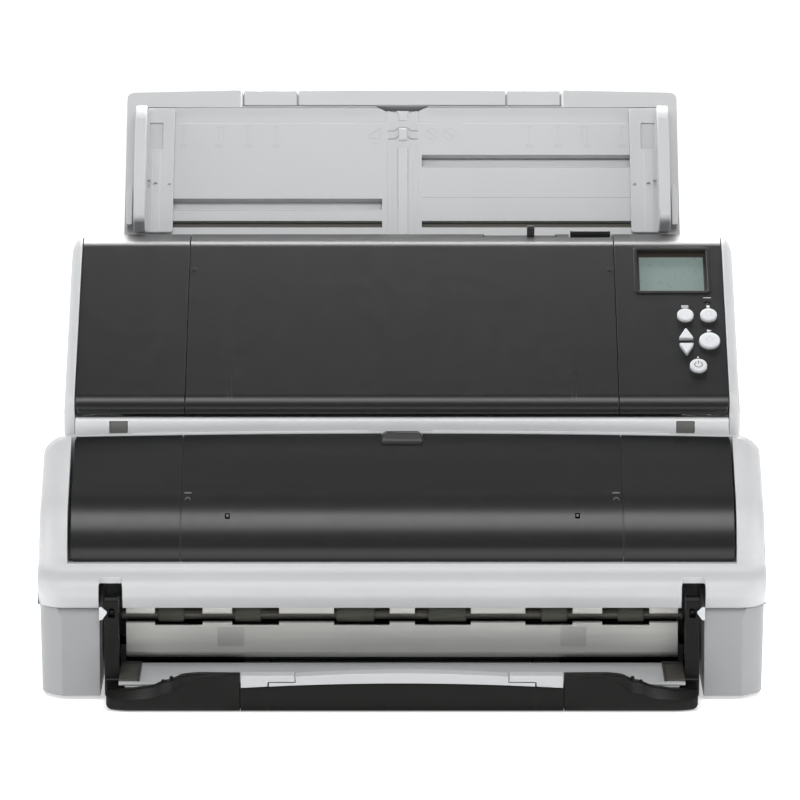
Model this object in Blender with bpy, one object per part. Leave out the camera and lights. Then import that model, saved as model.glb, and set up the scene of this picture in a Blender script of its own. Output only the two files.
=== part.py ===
"""Sheet fed document scanner standing on a post-imprinter base, as separate pieces.

Frame: metres, +Z up, +X to the viewer's right, the paper exit faces -Y.
The origin is the centre of the footprint on the table.
Below, lengths are in millimetres in a working frame whose y = 0 is the front of the
imprinter's base; point() turns them into world metres.
"""

import math

import bmesh
import bpy
from mathutils import Matrix, Vector

# ---------------------------------------------------------------- driving dimensions, mm
MM = 0.001
DEPTH_MID = 133.82           # working y of the footprint's middle
GAP = 0.35                   # clearance between neighbours

IMP_HALF = 201.5             # half width of the imprinter's upper shell
CHEEK_HALF = 200.3
COVER_HALF = 183.4           # half width of the imprinter's dark cover
BODY_HALF = 189.8            # half width of the scanner's white sides
PANEL_HALF = 183.1           # half width of the dark upper unit
SEAM = 121.6                 # seams between the three dark panels
EXIT_HALF = 153.3

SLOPE_LOW = (84.2, 154.7)    # dark upper panel: lower and upper end of its flat slope
SLOPE_TOP = (184.5, 219.9)
LIP_R = 6.0                  # its rolled lower lip, whose centre is the hinge
CHUTE_FOOT = (222.1, 216.9)  # a point on the chute's paper face
CHUTE_RECLINE = 40.0         # degrees from vertical
CHUTE_TOP = 101.9            # its upper edge, along the slope from CHUTE_FOOT
CHUTE_HALF = 161.4
PATH_OFF = -26.5             # paper path below the panel's outer plane
STACK_FRONT = -28.0          # foremost point of the stacker
IMP_HINGE = (14.0, 81.0)     # imprinter cover's hinge
PINION_R = 12.0              # pitch radius of the side guides' pinion
PINION_TEETH = 16
GUIDE_S = 39.5               # pinion's centre along the chute

ROLLERS = ((-135.6, -121.1), (-93.0, -78.4), (-36.5, -15.3),
           (14.7, 35.7), (77.4, 92.0), (119.9, 134.5))
POCKETS = ((-137.2, -110.8), (-94.3, -68.3), (-37.7, -6.9),
           (7.2, 38.2), (68.5, 94.7), (111.2, 137.3))

_slope = math.atan2(SLOPE_TOP[1] - SLOPE_LOW[1], SLOPE_TOP[0] - SLOPE_LOW[0])
SLOPE_LEN = math.hypot(SLOPE_TOP[0] - SLOPE_LOW[0], SLOPE_TOP[1] - SLOPE_LOW[1])
PT = (math.cos(_slope), math.sin(_slope))        # up the panel, in (y, z)
PN = (-math.sin(_slope), math.cos(_slope))       # out of the panel
_rec = math.radians(CHUTE_RECLINE)
CT = (math.sin(_rec), math.cos(_rec))            # up the chute
CN = (-math.cos(_rec), math.sin(_rec))           # out of its paper face
LIP_C = (SLOPE_LOW[0] - LIP_R * PN[0], SLOPE_LOW[1] - LIP_R * PN[1])


def panel(a, off=0.0):
    """(y, z) at distance a up the panel's slope and off out of it."""
    return (SLOPE_LOW[0] + a * PT[0] + off * PN[0], SLOPE_LOW[1] + a * PT[1] + off * PN[1])


def chute(s, n=0.0):
    """(y, z) at distance s up the chute and n out of its paper face."""
    return (CHUTE_FOOT[0] + s * CT[0] + n * CN[0], CHUTE_FOOT[1] + s * CT[1] + n * CN[1])


def point(x, y, z):
    return Vector((x * MM, (y - DEPTH_MID) * MM, z * MM))


# ---------------------------------------------------------------- scene and helpers
for old in list(bpy.data.objects):
    bpy.data.objects.remove(old, do_unlink=True)
scene = bpy.context.scene
scene.unit_settings.scale_length = 1.0
parts = bpy.data.collections.new("sheet_fed_document_scanner")
cutters = bpy.data.collections.new("cutters")
scene.collection.children.link(parts)
scene.collection.children.link(cutters)

WHITE = ((0.60, 0.61, 0.62), 0.45, 0.0)
CHUTE_GREY = ((0.57, 0.58, 0.59), 0.5, 0.0)
DARK = ((0.045, 0.045, 0.047), 0.38, 0.0)
BLACK = ((0.022, 0.022, 0.023), 0.45, 0.0)
GUIDE_GREY = ((0.30, 0.29, 0.27), 0.4, 0.0)
STEEL = ((0.45, 0.45, 0.46), 0.25, 1.0)
RUBBER = ((0.07, 0.075, 0.065), 0.8, 0.0)
BUTTON = ((0.62, 0.63, 0.64), 0.4, 0.0)
BOARD = ((0.02, 0.12, 0.05), 0.5, 0.0)


def finish_material(obj, look):
    colour, rough, metal = look
    mat = bpy.data.materials.new(obj.name + "_material")
    mat.use_nodes = True
    shader = mat.node_tree.nodes["Principled BSDF"]
    shader.inputs["Base Color"].default_value = (*colour, 1.0)
    shader.inputs["Roughness"].default_value = rough
    shader.inputs["Metallic"].default_value = metal
    obj.data.materials.clear()
    obj.data.materials.append(mat)


def add(name, mesh, look=None):
    """A part when it has a look, otherwise a hidden cutter."""
    obj = bpy.data.objects.new(name, mesh)
    if look is None:
        cutters.objects.link(obj)
        obj.hide_render = True
        obj.display_type = "WIRE"
    else:
        parts.objects.link(obj)
        finish_material(obj, look)
    return obj


def frame_matrix(kind):
    """Plane in which an outline is drawn, and the direction in which it is extruded."""
    if kind == "side":        # (y, z), extruded along x
        cols, origin = ((0, 1, 0), (0, 0, 1), (1, 0, 0)), point(0, 0, 0)
    elif kind == "plan":      # (x, y), extruded along z
        cols, origin = ((1, 0, 0), (0, 1, 0), (0, 0, 1)), point(0, 0, 0)
    elif kind == "front":     # (x, z), extruded along -y
        cols, origin = ((1, 0, 0), (0, 0, 1), (0, -1, 0)), point(0, 0, 0)
    elif kind == "panel":     # (x, a), extruded along the panel's normal
        cols, origin = ((1, 0, 0), (0, *PT), (0, *PN)), point(0, *SLOPE_LOW)
    else:                     # "chute": (x, s), extruded along the chute's normal
        cols, origin = ((1, 0, 0), (0, *CT), (0, *CN)), point(0, *CHUTE_FOOT)
    mat = Matrix(cols).transposed().to_4x4()
    mat.translation = origin
    return mat


def outline(name, kind, loops, lo, hi, look=None):
    """A flat outline, with any holes, extruded from lo to hi along its plane's normal."""
    if not isinstance(loops[0][0], (tuple, list)):
        loops = [loops]
    curve = bpy.data.curves.new(name + "_outline", "CURVE")
    curve.dimensions = "2D"
    curve.fill_mode = "BOTH"
    curve.extrude = (hi - lo) / 2 * MM
    for loop in loops:
        spline = curve.splines.new("POLY")
        spline.points.add(len(loop) - 1)
        for at, (u, v) in zip(spline.points, loop):
            at.co = (u * MM, v * MM, 0, 1)
        spline.use_cyclic_u = True
    temp = bpy.data.objects.new(name + "_temp", curve)
    scene.collection.objects.link(temp)
    graph = bpy.context.evaluated_depsgraph_get()
    mesh = bpy.data.meshes.new_from_object(temp.evaluated_get(graph))
    bpy.data.objects.remove(temp)
    bpy.data.curves.remove(curve)
    mesh.name = name
    bm = bmesh.new()
    bm.from_mesh(mesh)
    bmesh.ops.remove_doubles(bm, verts=bm.verts, dist=1e-6)
    if len(loops) == 1 and len(loops[0]) < 40:
        bmesh.ops.dissolve_limit(bm, angle_limit=0.002, verts=bm.verts, edges=bm.edges)
    bmesh.ops.translate(bm, verts=bm.verts, vec=(0, 0, (lo + hi) / 2 * MM))
    bm.transform(frame_matrix(kind))
    bmesh.ops.recalc_face_normals(bm, faces=bm.faces)
    if bm.calc_volume(signed=True) < 0:
        bmesh.ops.reverse_faces(bm, faces=bm.faces)
    bm.to_mesh(mesh)
    bm.free()
    return add(name, mesh, look)


def block(name, x, y, z, look=None):
    """A box between two limits on each axis."""
    bm = bmesh.new()
    bmesh.ops.create_cube(bm, size=1.0)
    for v in bm.verts:
        v.co = point(x[0] + (v.co.x + 0.5) * (x[1] - x[0]),
                     y[0] + (v.co.y + 0.5) * (y[1] - y[0]),
                     z[0] + (v.co.z + 0.5) * (z[1] - z[0]))
    mesh = bpy.data.meshes.new(name)
    bm.to_mesh(mesh)
    bm.free()
    return add(name, mesh, look)


def rod(name, start, end, r, look=None, sides=24, r2=None):
    """A cylinder or cone between two working-frame points."""
    a, b = point(*start), point(*end)
    axis = b - a
    bm = bmesh.new()
    bmesh.ops.create_cone(bm, cap_ends=True, cap_tris=False, segments=sides,
                          radius1=r * MM, radius2=(r if r2 is None else r2) * MM,
                          depth=axis.length)
    turn = axis.to_track_quat("Z", "Y").to_matrix().to_4x4()
    turn.translation = (a + b) / 2
    bm.transform(turn)
    mesh = bpy.data.meshes.new(name)
    bm.to_mesh(mesh)
    bm.free()
    mesh.shade_smooth()
    mesh.set_sharp_from_angle(angle=math.radians(35))
    return add(name, mesh, look)


def boolean(obj, other, kind="DIFFERENCE"):
    mod = obj.modifiers.new(kind.lower() + "_" + other.name, "BOOLEAN")
    mod.operation = kind
    mod.solver = "EXACT"
    mod.object = other
    return obj


def cut(obj, *others):
    for other in others:
        boolean(obj, other)
    return obj


def join(obj, *others):
    for other in others:
        boolean(obj, other, "UNION")
    return obj


def round_edges(obj, width, segments=2, keep=None):
    """Rounds the edges for which keep(a, b), given working-frame ends, is true."""
    bm = bmesh.new()
    bm.from_mesh(obj.data)
    chosen = []
    for edge in bm.edges:
        if len(edge.link_faces) != 2 or edge.calc_face_angle(0) < 0.35:
            continue
        a, b = (Vector((v.co.x / MM, v.co.y / MM + DEPTH_MID, v.co.z / MM)) for v in edge.verts)
        if keep is None or keep(a, b):
            chosen.append(edge)
    if chosen:
        bmesh.ops.bevel(bm, geom=chosen, offset=width * MM, segments=segments,
                        profile=0.5, affect="EDGES", clamp_overlap=True)
    bmesh.ops.recalc_face_normals(bm, faces=bm.faces)
    bm.to_mesh(obj.data)
    bm.free()
    return obj


def arc(cx, cy, r, start, end, steps):
    """Points on an arc, in degrees."""
    found = []
    for i in range(steps + 1):
        t = math.radians(start + (end - start) * i / steps)
        found.append((cx + r * math.cos(t), cy + r * math.sin(t)))
    return found


def rect(x0, x1, y0, y1):
    return [(x0, y0), (x1, y0), (x1, y1), (x0, y1)]


def round_rect(x0, x1, y0, y1, r, steps=3):
    return (arc(x1 - r, y1 - r, r, 0, 90, steps) + arc(x0 + r, y1 - r, r, 90, 180, steps)
            + arc(x0 + r, y0 + r, r, 180, 270, steps) + arc(x1 - r, y0 + r, r, 270, 360, steps))


def pivot(name, x, y, z, *children, parent=None):
    """An empty on a joint's axis, holding the pieces that move with it."""
    empty = bpy.data.objects.new(name, None)
    empty.empty_display_size = 0.01
    parts.objects.link(empty)
    empty.matrix_world = Matrix.Translation(point(x, y, z))
    if parent is not None:
        empty.parent = parent
        empty.matrix_parent_inverse = Matrix.Translation(-point(*parent["at"]))
    empty["at"] = (x, y, z)
    for child in children:
        child.parent = empty
        child.matrix_parent_inverse = Matrix.Translation(-point(x, y, z))
    return empty


# ---------------------------------------------------------------- imprinter base
# Outer side profile: undercut lip, curved fascia, convex slope under the cover, rear wall.
FASCIA = [(-0.5, 52.3), (-3.4, 54.2), (-4.0, 56.5), (-4.0, 61.6), (-1.2, 67.0), (4.5, 71.6), (12.2, 75.5)]
COVER_ARC = [(10.0, 78.8), (9.6, 81.5), (10.2, 86.0), (13.0, 93.5), (18.2, 101.5), (24.8, 107.7)]
COVER_TOP = [(38.5, 117.0), (52.5, 126.1), (67.4, 135.0)]


def grown(points, d):
    """The same open line moved d outwards, up its left side."""
    out = []
    for i, p in enumerate(points):
        a, b = points[max(i - 1, 0)], points[min(i + 1, len(points) - 1)]
        ty, tz = b[0] - a[0], b[1] - a[1]
        long = math.hypot(ty, tz)
        out.append((p[0] - tz / long * d, p[1] + ty / long * d))
    return out


side_line = grown(COVER_ARC[1:] + COVER_TOP, 2.2)
shell_profile = FASCIA[:-1] + [(7.2, 74.6)] + side_line + [(72.0, 137.4), (76.0, 136.6), (76.0, 52.3)]
upper_shell = outline("imprinter_upper_shell", "side", shell_profile, -IMP_HALF, IMP_HALF, WHITE)
round_edges(upper_shell, 9.0, 4, lambda a, b: abs(a.x) > IMP_HALF - 1 and abs(b.x) > IMP_HALF - 1
            and max(a.z, b.z) > 84 and min(a.y, b.y) < 75.9)
inside = [(-1.0, 50), (-1.0, 60.4), (2.0, 65.4), (7.0, 69.6), (13.4, 72.8), (12.6, 75.8), (-20, 75.8), (-20, 160),
          (70, 160), (70, 50)]
cut(upper_shell,
    outline("cut_shell_inside", "side", inside, -COVER_HALF - 0.5, COVER_HALF + 0.5),
    outline("cut_shell_left", "side",
            [(1, 50), (1, 60), (8, 68), (16, 76), (16, 84), (28, 102), (64, 125), (72, 125), (72, 50)], -198, -187),
    outline("cut_shell_right", "side",
            [(1, 50), (1, 60), (8, 68), (16, 76), (16, 84), (28, 102), (64, 125), (72, 125), (72, 50)], 187, 198),
    block("cut_entry_slot", (-156, 156), (66, 80), (112, 124)),
    block("cut_arm_notch_left", (-167, -153.7), (-10, 4), (50, 66)),
    block("cut_arm_notch_right", (153.7, 167), (-10, 4), (50, 66)))

for side, name in ((-1, "imprinter_left_cheek"), (1, "imprinter_right_cheek")):
    plan = [(166.4, 0), (189, 0), (196.5, 4.2), (CHEEK_HALF, 12), (CHEEK_HALF, 75.8), (166.4, 75.8)]
    loop = [(side * x, y) for x, y in plan]
    cheek = outline(name, "plan", loop, 2.0, 52.0, WHITE)
    low = [(side * x, y) for x, y in rect(169.5, 197.0, 34, 72.8)]
    cut(cheek, outline("cut_" + name, "plan", low, -1.0, 49.0))

bed = block("imprinter_bed", (-BODY_HALF, BODY_HALF), (76.3, 289.0), (2.5, 62.5), WHITE)
round_edges(bed, 4.0, 2, lambda a, b: abs(a.z - b.z) > 20 and a.y > 200)
cut(bed, outline("cut_bed", "plan",
                 [(-BODY_HALF + 3, 79.3), (BODY_HALF - 3, 79.3), (BODY_HALF - 3, 250), (168, 250), (168, 286),
                  (-168, 286), (-168, 250), (-BODY_HALF + 3, 250)], -1, 59.5))
block("imprinter_floor", (-165.9, 165.9), (36.0, 75.8), (14.2, 17.2), DARK)

upper_guide = block("exit_upper_guide", (-EXIT_HALF, EXIT_HALF), (28.0, 30.0), (41.3, 78.0), GUIDE_GREY)
lower_guide = outline("exit_lower_guide", "side",
                      [(28.0, 38.0), (28.0, 19.5), (25.6, 17.8), (25.6, 16.0), (34.0, 16.0), (34.0, 17.6),
                       (30.0, 19.5), (30.0, 38.0)], -EXIT_HALF, EXIT_HALF, GUIDE_GREY)
for i, (x0, x1) in enumerate(POCKETS):
    cut(upper_guide, block(f"cut_pocket_high_{i}", (x0, x1), (24, 33), (39, 45.9)))
    cut(lower_guide, block(f"cut_pocket_low_{i}", (x0, x1), (24, 33), (34.5, 40)))

exit_axis = (35.4, 40.2)
exit_roller = rod("exit_roller_shaft", (-160, *exit_axis), (160, *exit_axis), 3.0, STEEL, 16)
for i, (x0, x1) in enumerate(ROLLERS):
    join(exit_roller, rod(f"join_exit_roller_{i}", (x0, *exit_axis), (x1, *exit_axis), 7.6, None, 24))
pivot("exit_roller_axis", 0, *exit_axis, exit_roller)

outline("imprinter_platen", "side",
        [(69.5, 109.5), (44.0, 104.0), (36.0, 98.5), (32.6, 90.0), (32.6, 60.0), (34.6, 60.0), (34.6, 89.5),
         (37.6, 97.0), (45.0, 102.0), (69.5, 107.5)], -EXIT_HALF, EXIT_HALF, GUIDE_GREY)
rod("carriage_rail", (-180, 49, 113.6), (180, 49, 113.6), 2.5, STEEL, 16)
carriage = outline("print_carriage", "side",
                   [(40.5, 107.0), (62, 110.8), (62, 118.2), (46, 118.2), (40.5, 113.0)],
                   -172, -140, BLACK)
cut(carriage, rod("cut_carriage_bore", (-190, 49, 113.6), (-120, 49, 113.6), 2.9, None, 20))
cartridge = block("print_cartridge", (-168, -144), (51.4, 61.5), (118.6, 121.4), BLACK)
pivot("carriage_slide", -156, 49, 113.6, carriage, cartridge)

cover_outer = [(12.3, 77.0)] + COVER_ARC + COVER_TOP + [(69.6, 134.2)]
cover_back = [(69.6, 120.0), (20.0, 84.0), (16.6, 77.0)]
cover = outline("imprinter_cover", "side", cover_outer + [(69.6, 131.0)] + [(16.6, 77.0)],
                -COVER_HALF, COVER_HALF, DARK)
inner = grown([(12.3, 77.0)] + COVER_ARC + COVER_TOP, -2.6)
inner = [(14.9, 70.0)] + inner[1:-1] + [(67.0, 131.6), (67.0, 125.0), (75.0, 125.0), (75.0, 70.0)]
cut(cover, outline("cut_cover_inside", "side", inner, -COVER_HALF + 2.4, COVER_HALF - 2.4),
    block("cut_latch_notch", (-11.9, 11.9), (60.6, 75), (120, 150)))
latch = outline("cover_latch", "side",
                [(62.2, 127.0), (62.2, 132.4), (66.0, 137.0), (69.6, 137.0), (69.6, 124.0), (65.0, 124.0)],
                -11.4, 11.4, BLACK)
cover_axis = pivot("imprinter_cover_hinge", 0, *IMP_HINGE, cover)
pivot("cover_latch_hinge", 0, 67.0, 126.0, latch, parent=cover_axis)

for side, where in ((-1, "left"), (1, "right")):
    for y, end in ((19, "front"), (268, "rear")):
        rod(f"foot_{end}_{where}", (side * 181, y, 0), (side * 181, y, 1.7 if end == "front" else 2.1), 7.0,
            RUBBER, 20)

# ---------------------------------------------------------------- stacker
rim = [(-162.7, 0.8), (162.7, 0.8), (162.7, 10.5), (156, 12.2), (140, 13.2), (129, 16.6), (120, 20.2), (116, 20.8),
       (88.8, 20.8), (88.8, 12.6), (-88.8, 12.6), (-88.8, 20.8), (-116, 20.8), (-120, 20.2), (-129, 16.6),
       (-140, 13.2), (-156, 12.2), (-162.7, 10.5)]
tray = outline("stacker_frame", "front", rim, 18.0, 28.0, BLACK)
join(tray,
     block("join_tray_floor", (-162.7, 162.7), (-18.5, 75.0), (0.8, 11.0)),
     block("join_arm_left", (-164.0, -154.2), (-3.0, 5.0), (4.0, 58.6)),
     block("join_arm_right", (154.2, 164.0), (-3.0, 5.0), (4.0, 58.6)))
cut(tray, block("cut_tray_channel", (-88.6, 88.6), (-30, 72.0), (3.0, 30)))
plate = outline("stacker_plate", "plan", [rect(-152.5, 152.5, -17.4, 24.4)], 11.4, 14.2, WHITE)
join(plate, block("join_tab_left", (-101.0, -93.5), (-12.0, -6.0), (13.5, 17.5)),
     block("join_tab_right", (93.5, 101.0), (-12.0, -6.0), (13.5, 17.5)))
ext1 = outline("stacker_extension_1", "front",
               [(-88.2, 3.4), (88.2, 3.4), (88.2, 20.8), (58.6, 20.8), (58.6, 17.2), (73.6, 17.2), (73.6, 5.4),
                (-73.6, 5.4), (-73.6, 17.2), (-58.6, 17.2), (-58.6, 20.8), (-88.2, 20.8)], 18.2, 27.6, WHITE)
join(ext1, block("join_ext1_floor", (-88.2, 88.2), (-19.0, 71.6), (3.4, 10.9)))
cut(ext1, block("cut_ext1_channel", (-73.3, 73.3), (-17.6, 69.0), (5.4, 16)))
cut(ext1, block("cut_ext1_mouth", (-73.3, 73.3), (-30, -16), (5.4, 16.8)))
ext2 = outline("stacker_extension_2", "front",
               [(-72.9, 5.8), (72.9, 5.8), (72.9, 16.7), (58.2, 16.7), (58.2, 20.8), (-58.2, 20.8), (-58.2, 16.7),
                (-72.9, 16.7)], 18.2, 27.8, WHITE)
join(ext2, block("join_ext2_floor", (-72.9, 72.9), (-19.0, 68.6), (5.8, 10.7)))
stack_axis = pivot("stacker_slide", 0, 0, 6, tray, plate)
ext1_axis = pivot("stacker_extension_1_slide", 0, 0, 7, ext1, parent=stack_axis)
pivot("stacker_extension_2_slide", 0, 0, 8, ext2, parent=ext1_axis)

# ---------------------------------------------------------------- scanner body
side_outline = [(81.2, 66.0), (81.2, 144.0), (80.6, 149.0), (83.0, 156.6), (183.8, 222.2), (191.5, 224.6),
                (238, 225.0), (262, 214.0), (287, 189.0), (289, 184.0), (289, 66.0)]
for side, name in ((-1, "side_shell_left"), (1, "side_shell_right")):
    lo, hi = sorted((side * (PANEL_HALF + 0.35), side * BODY_HALF))
    shell = outline(name, "side", side_outline, lo, hi, WHITE)
    round_edges(shell, 4.2, 3, lambda a, b: abs(a.x) > BODY_HALF - 0.5 and abs(b.x) > BODY_HALF - 0.5
                and max(a.z, b.z) > 70)

front = outline("scanner_front_cover", "side",
                [(80.0, 66.0), (80.0, 140.6), (82.4, 143.0), (91.0, 143.0), (91.0, 140.6), (83.0, 140.4),
                 (83.0, 69.5), (92.0, 69.5), (92.0, 66.0)], -PANEL_HALF, PANEL_HALF, WHITE)
cut(front, block("cut_scanner_exit", (-156, 156), (76, 87), (112, 124)),
    block("cut_arm_slot_left", (-164.0, -153.7), (76, 87), (133.4, 140.0)),
    block("cut_arm_slot_right", (153.7, 164.0), (76, 87), (133.4, 140.0)))
block("scanner_base_plate", (-PANEL_HALF, PANEL_HALF), (92.4, 285.4), (66.0, 69.0), GUIDE_GREY)

rear = outline("rear_cover", "side",
               [(235.0, 209.0), (242.0, 211.0), (258.0, 204.5), (286.0, 186.0), (289.0, 182.0), (289.0, 66.0),
                (286.0, 66.0), (286.0, 182.0), (257.0, 201.4), (242.0, 207.6), (235.0, 205.6)],
               -PANEL_HALF, PANEL_HALF, WHITE)
cut(rear, block("cut_inlet_hole", (-152.4, -135.6), (280, 295), (88.6, 103.4)),
    block("cut_usb_hole", (119.6, 132.4), (280, 295), (88.6, 100.4)))
inlet = block("power_inlet", (-152.0, -136.0), (270.0, 288.4), (89.0, 103.0), BLACK)
cut(inlet, rod("cut_inlet_bore", (-144, 276, 96), (-144, 295, 96), 4.6, None, 20))
usb = block("usb_port", (120.0, 132.0), (270.0, 288.4), (89.0, 100.0), STEEL)
cut(usb, block("cut_usb_mouth", (121.2, 130.8), (276, 295), (90.2, 98.8)))
block("main_board", (-110, 110), (277.0, 278.6), (76.0, 168.0), BOARD)

guide = outline("lower_paper_guide", "panel",
                [rect(-165, 165, 1.0, 136.0), rect(-156.8, 156.8, 41.4, 60.6), rect(-32, 32, 86.4, 109.6),
                 rect(-32, 32, 111.4, 133.6)], PATH_OFF - 4.0, PATH_OFF, GUIDE_GREY)
lower_scan = outline("lower_scan_unit", "panel", rect(-156.3, 156.3, 41.9, 60.1), PATH_OFF - 24, PATH_OFF - 0.4,
                     BLACK)


def shaft_with_roller(name, a, off, r, half, reach, look, pulley=None):
    y, z = panel(a, off)
    shaft = rod(name, (-reach[0], y, z), (reach[1], y, z), 3.0, look, 16)
    join(shaft, rod("join_" + name, (-half, y, z), (half, y, z), r, None, 28))
    if pulley:
        join(shaft, rod("join_pulley_" + name, (pulley[0], y, z), (pulley[1], y, z), pulley[2], None, 28))
    return shaft, (y, z)


feed, feed_at = shaft_with_roller("feed_roller", 98.0, PATH_OFF - 10, 11.0, 29, (177, 165), RUBBER, (-176, -168, 10.0))
pick, pick_at = shaft_with_roller("pick_roller", 122.5, PATH_OFF - 9.6, 10.6, 29, (165, 165), RUBBER)
pivot("feed_roller_axis", 0, *feed_at, feed)
pivot("pick_roller_axis", 0, *pick_at, pick)
MOTOR_AT = (226.0, 112.0)
motor = rod("feed_motor", (-164, *MOTOR_AT), (-126, *MOTOR_AT), 21.0, STEEL, 28)
pulley = rod("motor_pulley", (-176, *MOTOR_AT), (-168, *MOTOR_AT), 5.0, STEEL, 20)
join(pulley, rod("join_motor_spindle", (-168.5, *MOTOR_AT), (-164.4, *MOTOR_AT), 2.0, None, 14))
pivot("motor_pulley_axis", -172, *MOTOR_AT, pulley)


def belt_loop(c1, r1, c2, r2, steps=12):
    """Outline of a belt round two pulleys, made of two arcs and their outer tangents."""
    dy, dz = c2[0] - c1[0], c2[1] - c1[1]
    dist = math.hypot(dy, dz)
    base = math.degrees(math.atan2(dz, dy))
    lean = math.degrees(math.acos((r1 - r2) / dist))
    return (arc(*c1, r1, base + lean, base + 360 - lean, steps * 2)
            + arc(*c2, r2, base - lean, base + lean, steps))


outline("drive_belt", "side", [belt_loop(feed_at, 12.0, MOTOR_AT, 7.0), belt_loop(feed_at, 10.5, MOTOR_AT, 5.5)],
        -175.0, -169.0, BLACK)

# ---------------------------------------------------------------- hinged upper unit
lip = arc(*LIP_C, LIP_R, 270, math.degrees(math.atan2(PN[1], PN[0])), 6)
turn_r = 14.0
top_c = panel(SLOPE_LEN, -turn_r)
top_arc = arc(*top_c, turn_r, math.degrees(math.atan2(PN[1], PN[0])), 92.0, 4)
REAR_TOP = (212.5, top_arc[-1][1] + 0.5)


def rear_face(k, back=0.0):
    """Rear face of the upper unit, parallel to the chute, k down from its top."""
    return (REAR_TOP[0] - 0.8 - k * CT[0] - back * CN[0] * -1, REAR_TOP[1] - 1.2 - k * CT[1] - back * CN[1] * -1)


outer_skin = [(90.5, LIP_C[1] - LIP_R)] + lip + top_arc + [(REAR_TOP[0] - 1.0, REAR_TOP[1])]
skin_closed = outer_skin + [rear_face(0), rear_face(12), panel(118, -8), panel(8, -5.4), (90.5, 146.2)]
skin_inner = ([(90.4, 146.2)] + arc(*LIP_C, LIP_R - 2.5, 265, math.degrees(math.atan2(PN[1], PN[0])), 4)
              + arc(*top_c, turn_r - 2.5, math.degrees(math.atan2(PN[1], PN[0])), 92.0, 3)
              + [(rear_face(0)[0] - 2.8, REAR_TOP[1] - 2.5), (rear_face(14)[0] - 2.8, rear_face(14)[1]),
                 panel(116, -30), panel(0, -30)])


def skin(name, x0, x1, look):
    obj = outline(name, "side", skin_closed, x0, x1, look)
    cut(obj, outline("cut_" + name, "side", skin_inner, x0 + 2.2, x1 - 2.2))
    return obj


left_cover = skin("adf_left_cover", -PANEL_HALF, -SEAM - GAP / 2, DARK)
centre_cover = skin("adf_center_cover", -SEAM + GAP / 2, SEAM - GAP / 2, DARK)
operator = skin("operator_panel", SEAM + GAP / 2, PANEL_HALF, DARK)

SELECTOR_X = (72.0, 76.6)
cut(centre_cover,
    block("cut_selector_slot", (58.0, 77.6), (203.2, 207.6), (196, 235)),
    block("cut_release_notch", (96.5, 119.2), (200.0, 220), (217.4, 235)))
selector = block("feed_selector", SELECTOR_X, (203.8, 207.0), (214.0, 228.6), BLACK)
release = block("adf_release_tab", (97.2, 118.4), (205.4, 208.2), (218.0, 225.4), BLACK)
round_edges(release, 0.6, 1)

LCD = (133.6, 175.1, 82.4, 118.2)
lcd_cut = outline("cut_lcd", "panel", round_rect(*LCD, 2.0), -6, 4)
cut(operator, lcd_cut)
lcd = outline("lcd_display", "panel", rect(LCD[0] + 0.4, LCD[1] - 0.4, LCD[2] + 0.4, LCD[3] - 0.4), -4.6, -2.9, GUIDE_GREY)

BUTTONS = {"menu_button": (160.8, 62.8, 4.7), "stop_button": (174.0, 62.8, 4.8),
           "scan_button": (173.9, 42.1, 5.95), "power_button": (166.9, 22.0, 4.9)}
TRIANGLES = {"up_button": (160.7, 47.0, 1), "down_button": (160.7, 35.6, -1)}
button_objects = {}
for name, (x, a, r) in BUTTONS.items():
    cut(operator, rod("cut_" + name, (x, *panel(a, -6)), (x, *panel(a, 4)), r + 0.4, None, 28))
    button_objects[name] = rod(name, (x, *panel(a, -4.2)), (x, *panel(a, 2.0)), r, BUTTON, 28)
    round_edges(button_objects[name], 0.5, 1, lambda p, q: p.z > 60 and (p - q).length < 3.0)


def triangle(x, a, way, grow=0.0):
    half, low, high = 4.25 + grow * 1.6, -3.6 - grow, 4.6 + grow * 2
    return [(x - half, a + way * low), (x + half, a + way * low), (x, a + way * high)][:: way]


for name, (x, a, way) in TRIANGLES.items():
    cut(operator, outline("cut_" + name, "panel", triangle(x, a, way, 0.4), -6, 4))
    button_objects[name] = outline(name, "panel", triangle(x, a, way), -4.2, 2.0, BUTTON)

inner_frame = outline("adf_inner_frame", "side",
                      [panel(5, -8.4), panel(104, -8.4), panel(121, -10.6), rear_face(17.0), rear_face(36.0),
                       panel(106, -24), panel(5, -24)], -158, 158, GUIDE_GREY)
cut(inner_frame,
    outline("cut_upper_scan", "panel", rect(-156.8, 156.8, 41.4, 60.6), -30, -11.4),
    outline("cut_brake_pocket", "panel", rect(-33, 33, 85, 109.6), -30, -11.4),
    outline("cut_frame_hollow", "panel", rect(-150, 150, 8, 38), -20, -5))
outline("upper_scan_unit", "panel", rect(-156.3, 156.3, 41.9, 60.1), -23.8, -11.8, BLACK)
brake_at = panel(97.6, -18.6)
brake = rod("brake_roller", (-30, *brake_at), (30, *brake_at), 6.4, RUBBER, 28)

hinge = pivot("adf_hinge", 0, *LIP_C, left_cover, centre_cover, operator, inner_frame, lcd,
              bpy.data.objects["upper_scan_unit"])
pivot("release_tab_axis", 108, 206.8, 218.4, release, parent=hinge)
pivot("feed_selector_slide", 74.3, 205.4, 222, selector, parent=hinge)
pivot("brake_roller_axis", 0, *brake_at, brake, parent=hinge)
for name, obj in button_objects.items():
    x, a = (BUTTONS.get(name) or TRIANGLES.get(name))[:2]
    pivot(name + "_slide", x, *panel(a), obj, parent=hinge)

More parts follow.
